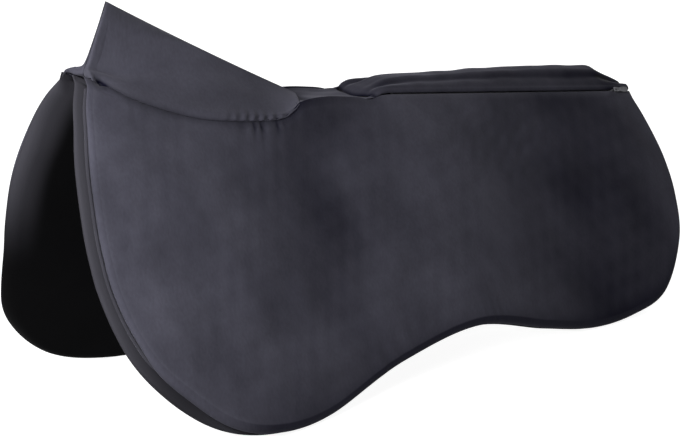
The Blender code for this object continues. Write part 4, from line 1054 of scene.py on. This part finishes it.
for side, sign in bodySigns.items():
    start, along, across, out, length = zipAxes(sign)
    turnToZip = np.stack([along, across, out], axis=1)

    count = 2 * int((length - 2 * zipFacts["endLeft"]) / zipFacts["pitch"])
    matrices = np.tile(np.eye(4), (count, 1, 1))
    which = np.arange(count)
    run = zipFacts["endLeft"] + (which + 0.5) * zipFacts["pitch"] / 2
    sideways = np.where(which % 2, 0.5, -0.5) * zipFacts["rowsApart"]
    place = np.stack([run, sideways, np.full(count, -zipFacts["deep"])], 1)
    matrices[:, :3, :3] = turnToZip
    matrices[:, :3, 3] = start + place @ turnToZip.T
    tooth, toothQuads = roundedBar(*(zipFacts["tooth" + size] for size in ("Width", "Length", "Height")))
    tooth = tooth[:, [1, 0, 2]] * np.array([1, -1, 1])
    teeth = dress(scatterMesh(side + "ZipTeeth", tooth, toothQuads, matrices), "zipTeeth")
    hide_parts(side + "_zip_chain")
    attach(teeth, "centre")

    rows, columns = zipFacts["tapeGrid"]
    pitch, rise = zipFacts["wave"]
    for (name, reach), way in zip(zipFacts["tapes"].items(), (-sign, sign)):
        y, s = np.meshgrid(np.linspace(zipFacts["tapeIn"], reach, rows), np.linspace(0, length, columns),
                           indexing="ij")
        wave = rise * np.sin(2 * math.pi * s / pitch + way) * (y / reach)
        faces = [np.stack([s, way * y, depth + wave], -1) @ turnToZip.T + start
                 for depth in zipFacts["tapeDepths"]]
        tape = dress(shellMesh(side + "ZipTape" + name, *faces, flip=way < 0), "zipTape")
        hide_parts(side + "_zip_tape_" + name.lower())
        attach(tape, "centre")

    for name in ("zip_stop_front", "zip_stop_rear", "zip_slider", "zip_pull"):
        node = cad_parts[side + "_" + name]
        node.data.materials.clear()
        node.data.materials.append(materials["zipMetal"])
print("zips made")


# Floor, lamps and camera

photo = {"camera": (-1.1070, -1.2439, 0.5854), "target": (-0.0257, 0.0, 0.1139), "focalPixels": 2100.0,
         "widthPixels": 680.0, "sensor": 36.0}
stage = {"floorSize": 12.0, "floorZ": -0.0004, "floorShade": 0.50, "floorRough": 0.9, "floorSeen": 0.93,
         "roomLight": 0.05, "roomSeen": 1.0, "aim": (0.0, 0.0, 0.14)}


def seenRays(nodes, links, low, high):
    # One strength for the light that falls on things, another for what the camera, gloss and glass see
    path = nodes.new("ShaderNodeLightPath")
    total = path.outputs["Is Camera Ray"]
    for ray in ("Is Glossy Ray", "Is Transmission Ray"):
        either = nodes.new("ShaderNodeMath")
        either.operation = "MAXIMUM"
        links.new(total, either.inputs[0])
        links.new(path.outputs[ray], either.inputs[1])
        total = either.outputs[0]
    level = nodes.new("ShaderNodeMapRange")
    level.inputs["To Min"].default_value = low
    level.inputs["To Max"].default_value = high
    links.new(total, level.inputs["Value"])
    return level.outputs["Result"]


corners = np.array([(-1, -1, 0), (1, -1, 0), (1, 1, 0), (-1, 1, 0)], float) * stage["floorSize"]
corners[:, 2] = stage["floorZ"]
floor = sheetMesh("floor", corners, np.array([[0, 1, 2, 3]]), smooth=False)
floorMaterial, nodes, links, shader = newMaterial("paleFloor")
shader.inputs["Base Color"].default_value = (*[stage["floorShade"]] * 3, 1)
shader.inputs["Roughness"].default_value = stage["floorRough"]
links.new(seenRays(nodes, links, 0.0, stage["floorSeen"]), shader.inputs["Emission Strength"])
shader.inputs["Emission Color"].default_value = (1, 1, 1, 1)
floor.data.materials.append(floorMaterial)

world = bpy.data.worlds.new("studio")
bpy.context.scene.world = world
world.use_nodes = True
nodes, links = world.node_tree.nodes, world.node_tree.links
background = nodes["Background"]
background.inputs["Color"].default_value = (1, 1, 1, 1)
links.new(seenRays(nodes, links, stage["roomLight"], stage["roomSeen"]), background.inputs["Strength"])

lamps = {
    "keyLamp": {"place": (-0.80, -0.34, 0.52), "size": 0.4, "watts": 9.5},
    "rimLamp": {"place": (1.5, 0.2, 0.9), "size": 0.6, "watts": 4},
    "topLamp": {"place": (-0.3, -0.4, 2.2), "size": 1.2, "watts": 4},
    "backLamp": {"place": (0.2, 1.6, 1.3), "size": 1.0, "watts": 10},
}
for name, facts in lamps.items():
    lamp = bpy.data.lights.new(name, "AREA")
    lamp.size, lamp.energy = facts["size"], facts["watts"]
    holder = bpy.data.objects.new(name, lamp)
    holder.location = facts["place"]
    holder.rotation_euler = (Vector(stage["aim"]) - holder.location).to_track_quat("-Z", "Y").to_euler()
    bpy.context.scene.collection.objects.link(holder)

camera = bpy.data.objects.new("camera", bpy.data.cameras.new("camera"))
camera.data.sensor_width = photo["sensor"]
camera.data.lens = photo["focalPixels"] / photo["widthPixels"] * photo["sensor"]
camera.location = photo["camera"]
camera.rotation_euler = (Vector(photo["target"]) - camera.location).to_track_quat("-Z", "Y").to_euler()
bpy.context.scene.collection.objects.link(camera)
bpy.context.scene.camera = camera
bpy.context.scene.view_settings.view_transform = "Standard"
print("stage set")
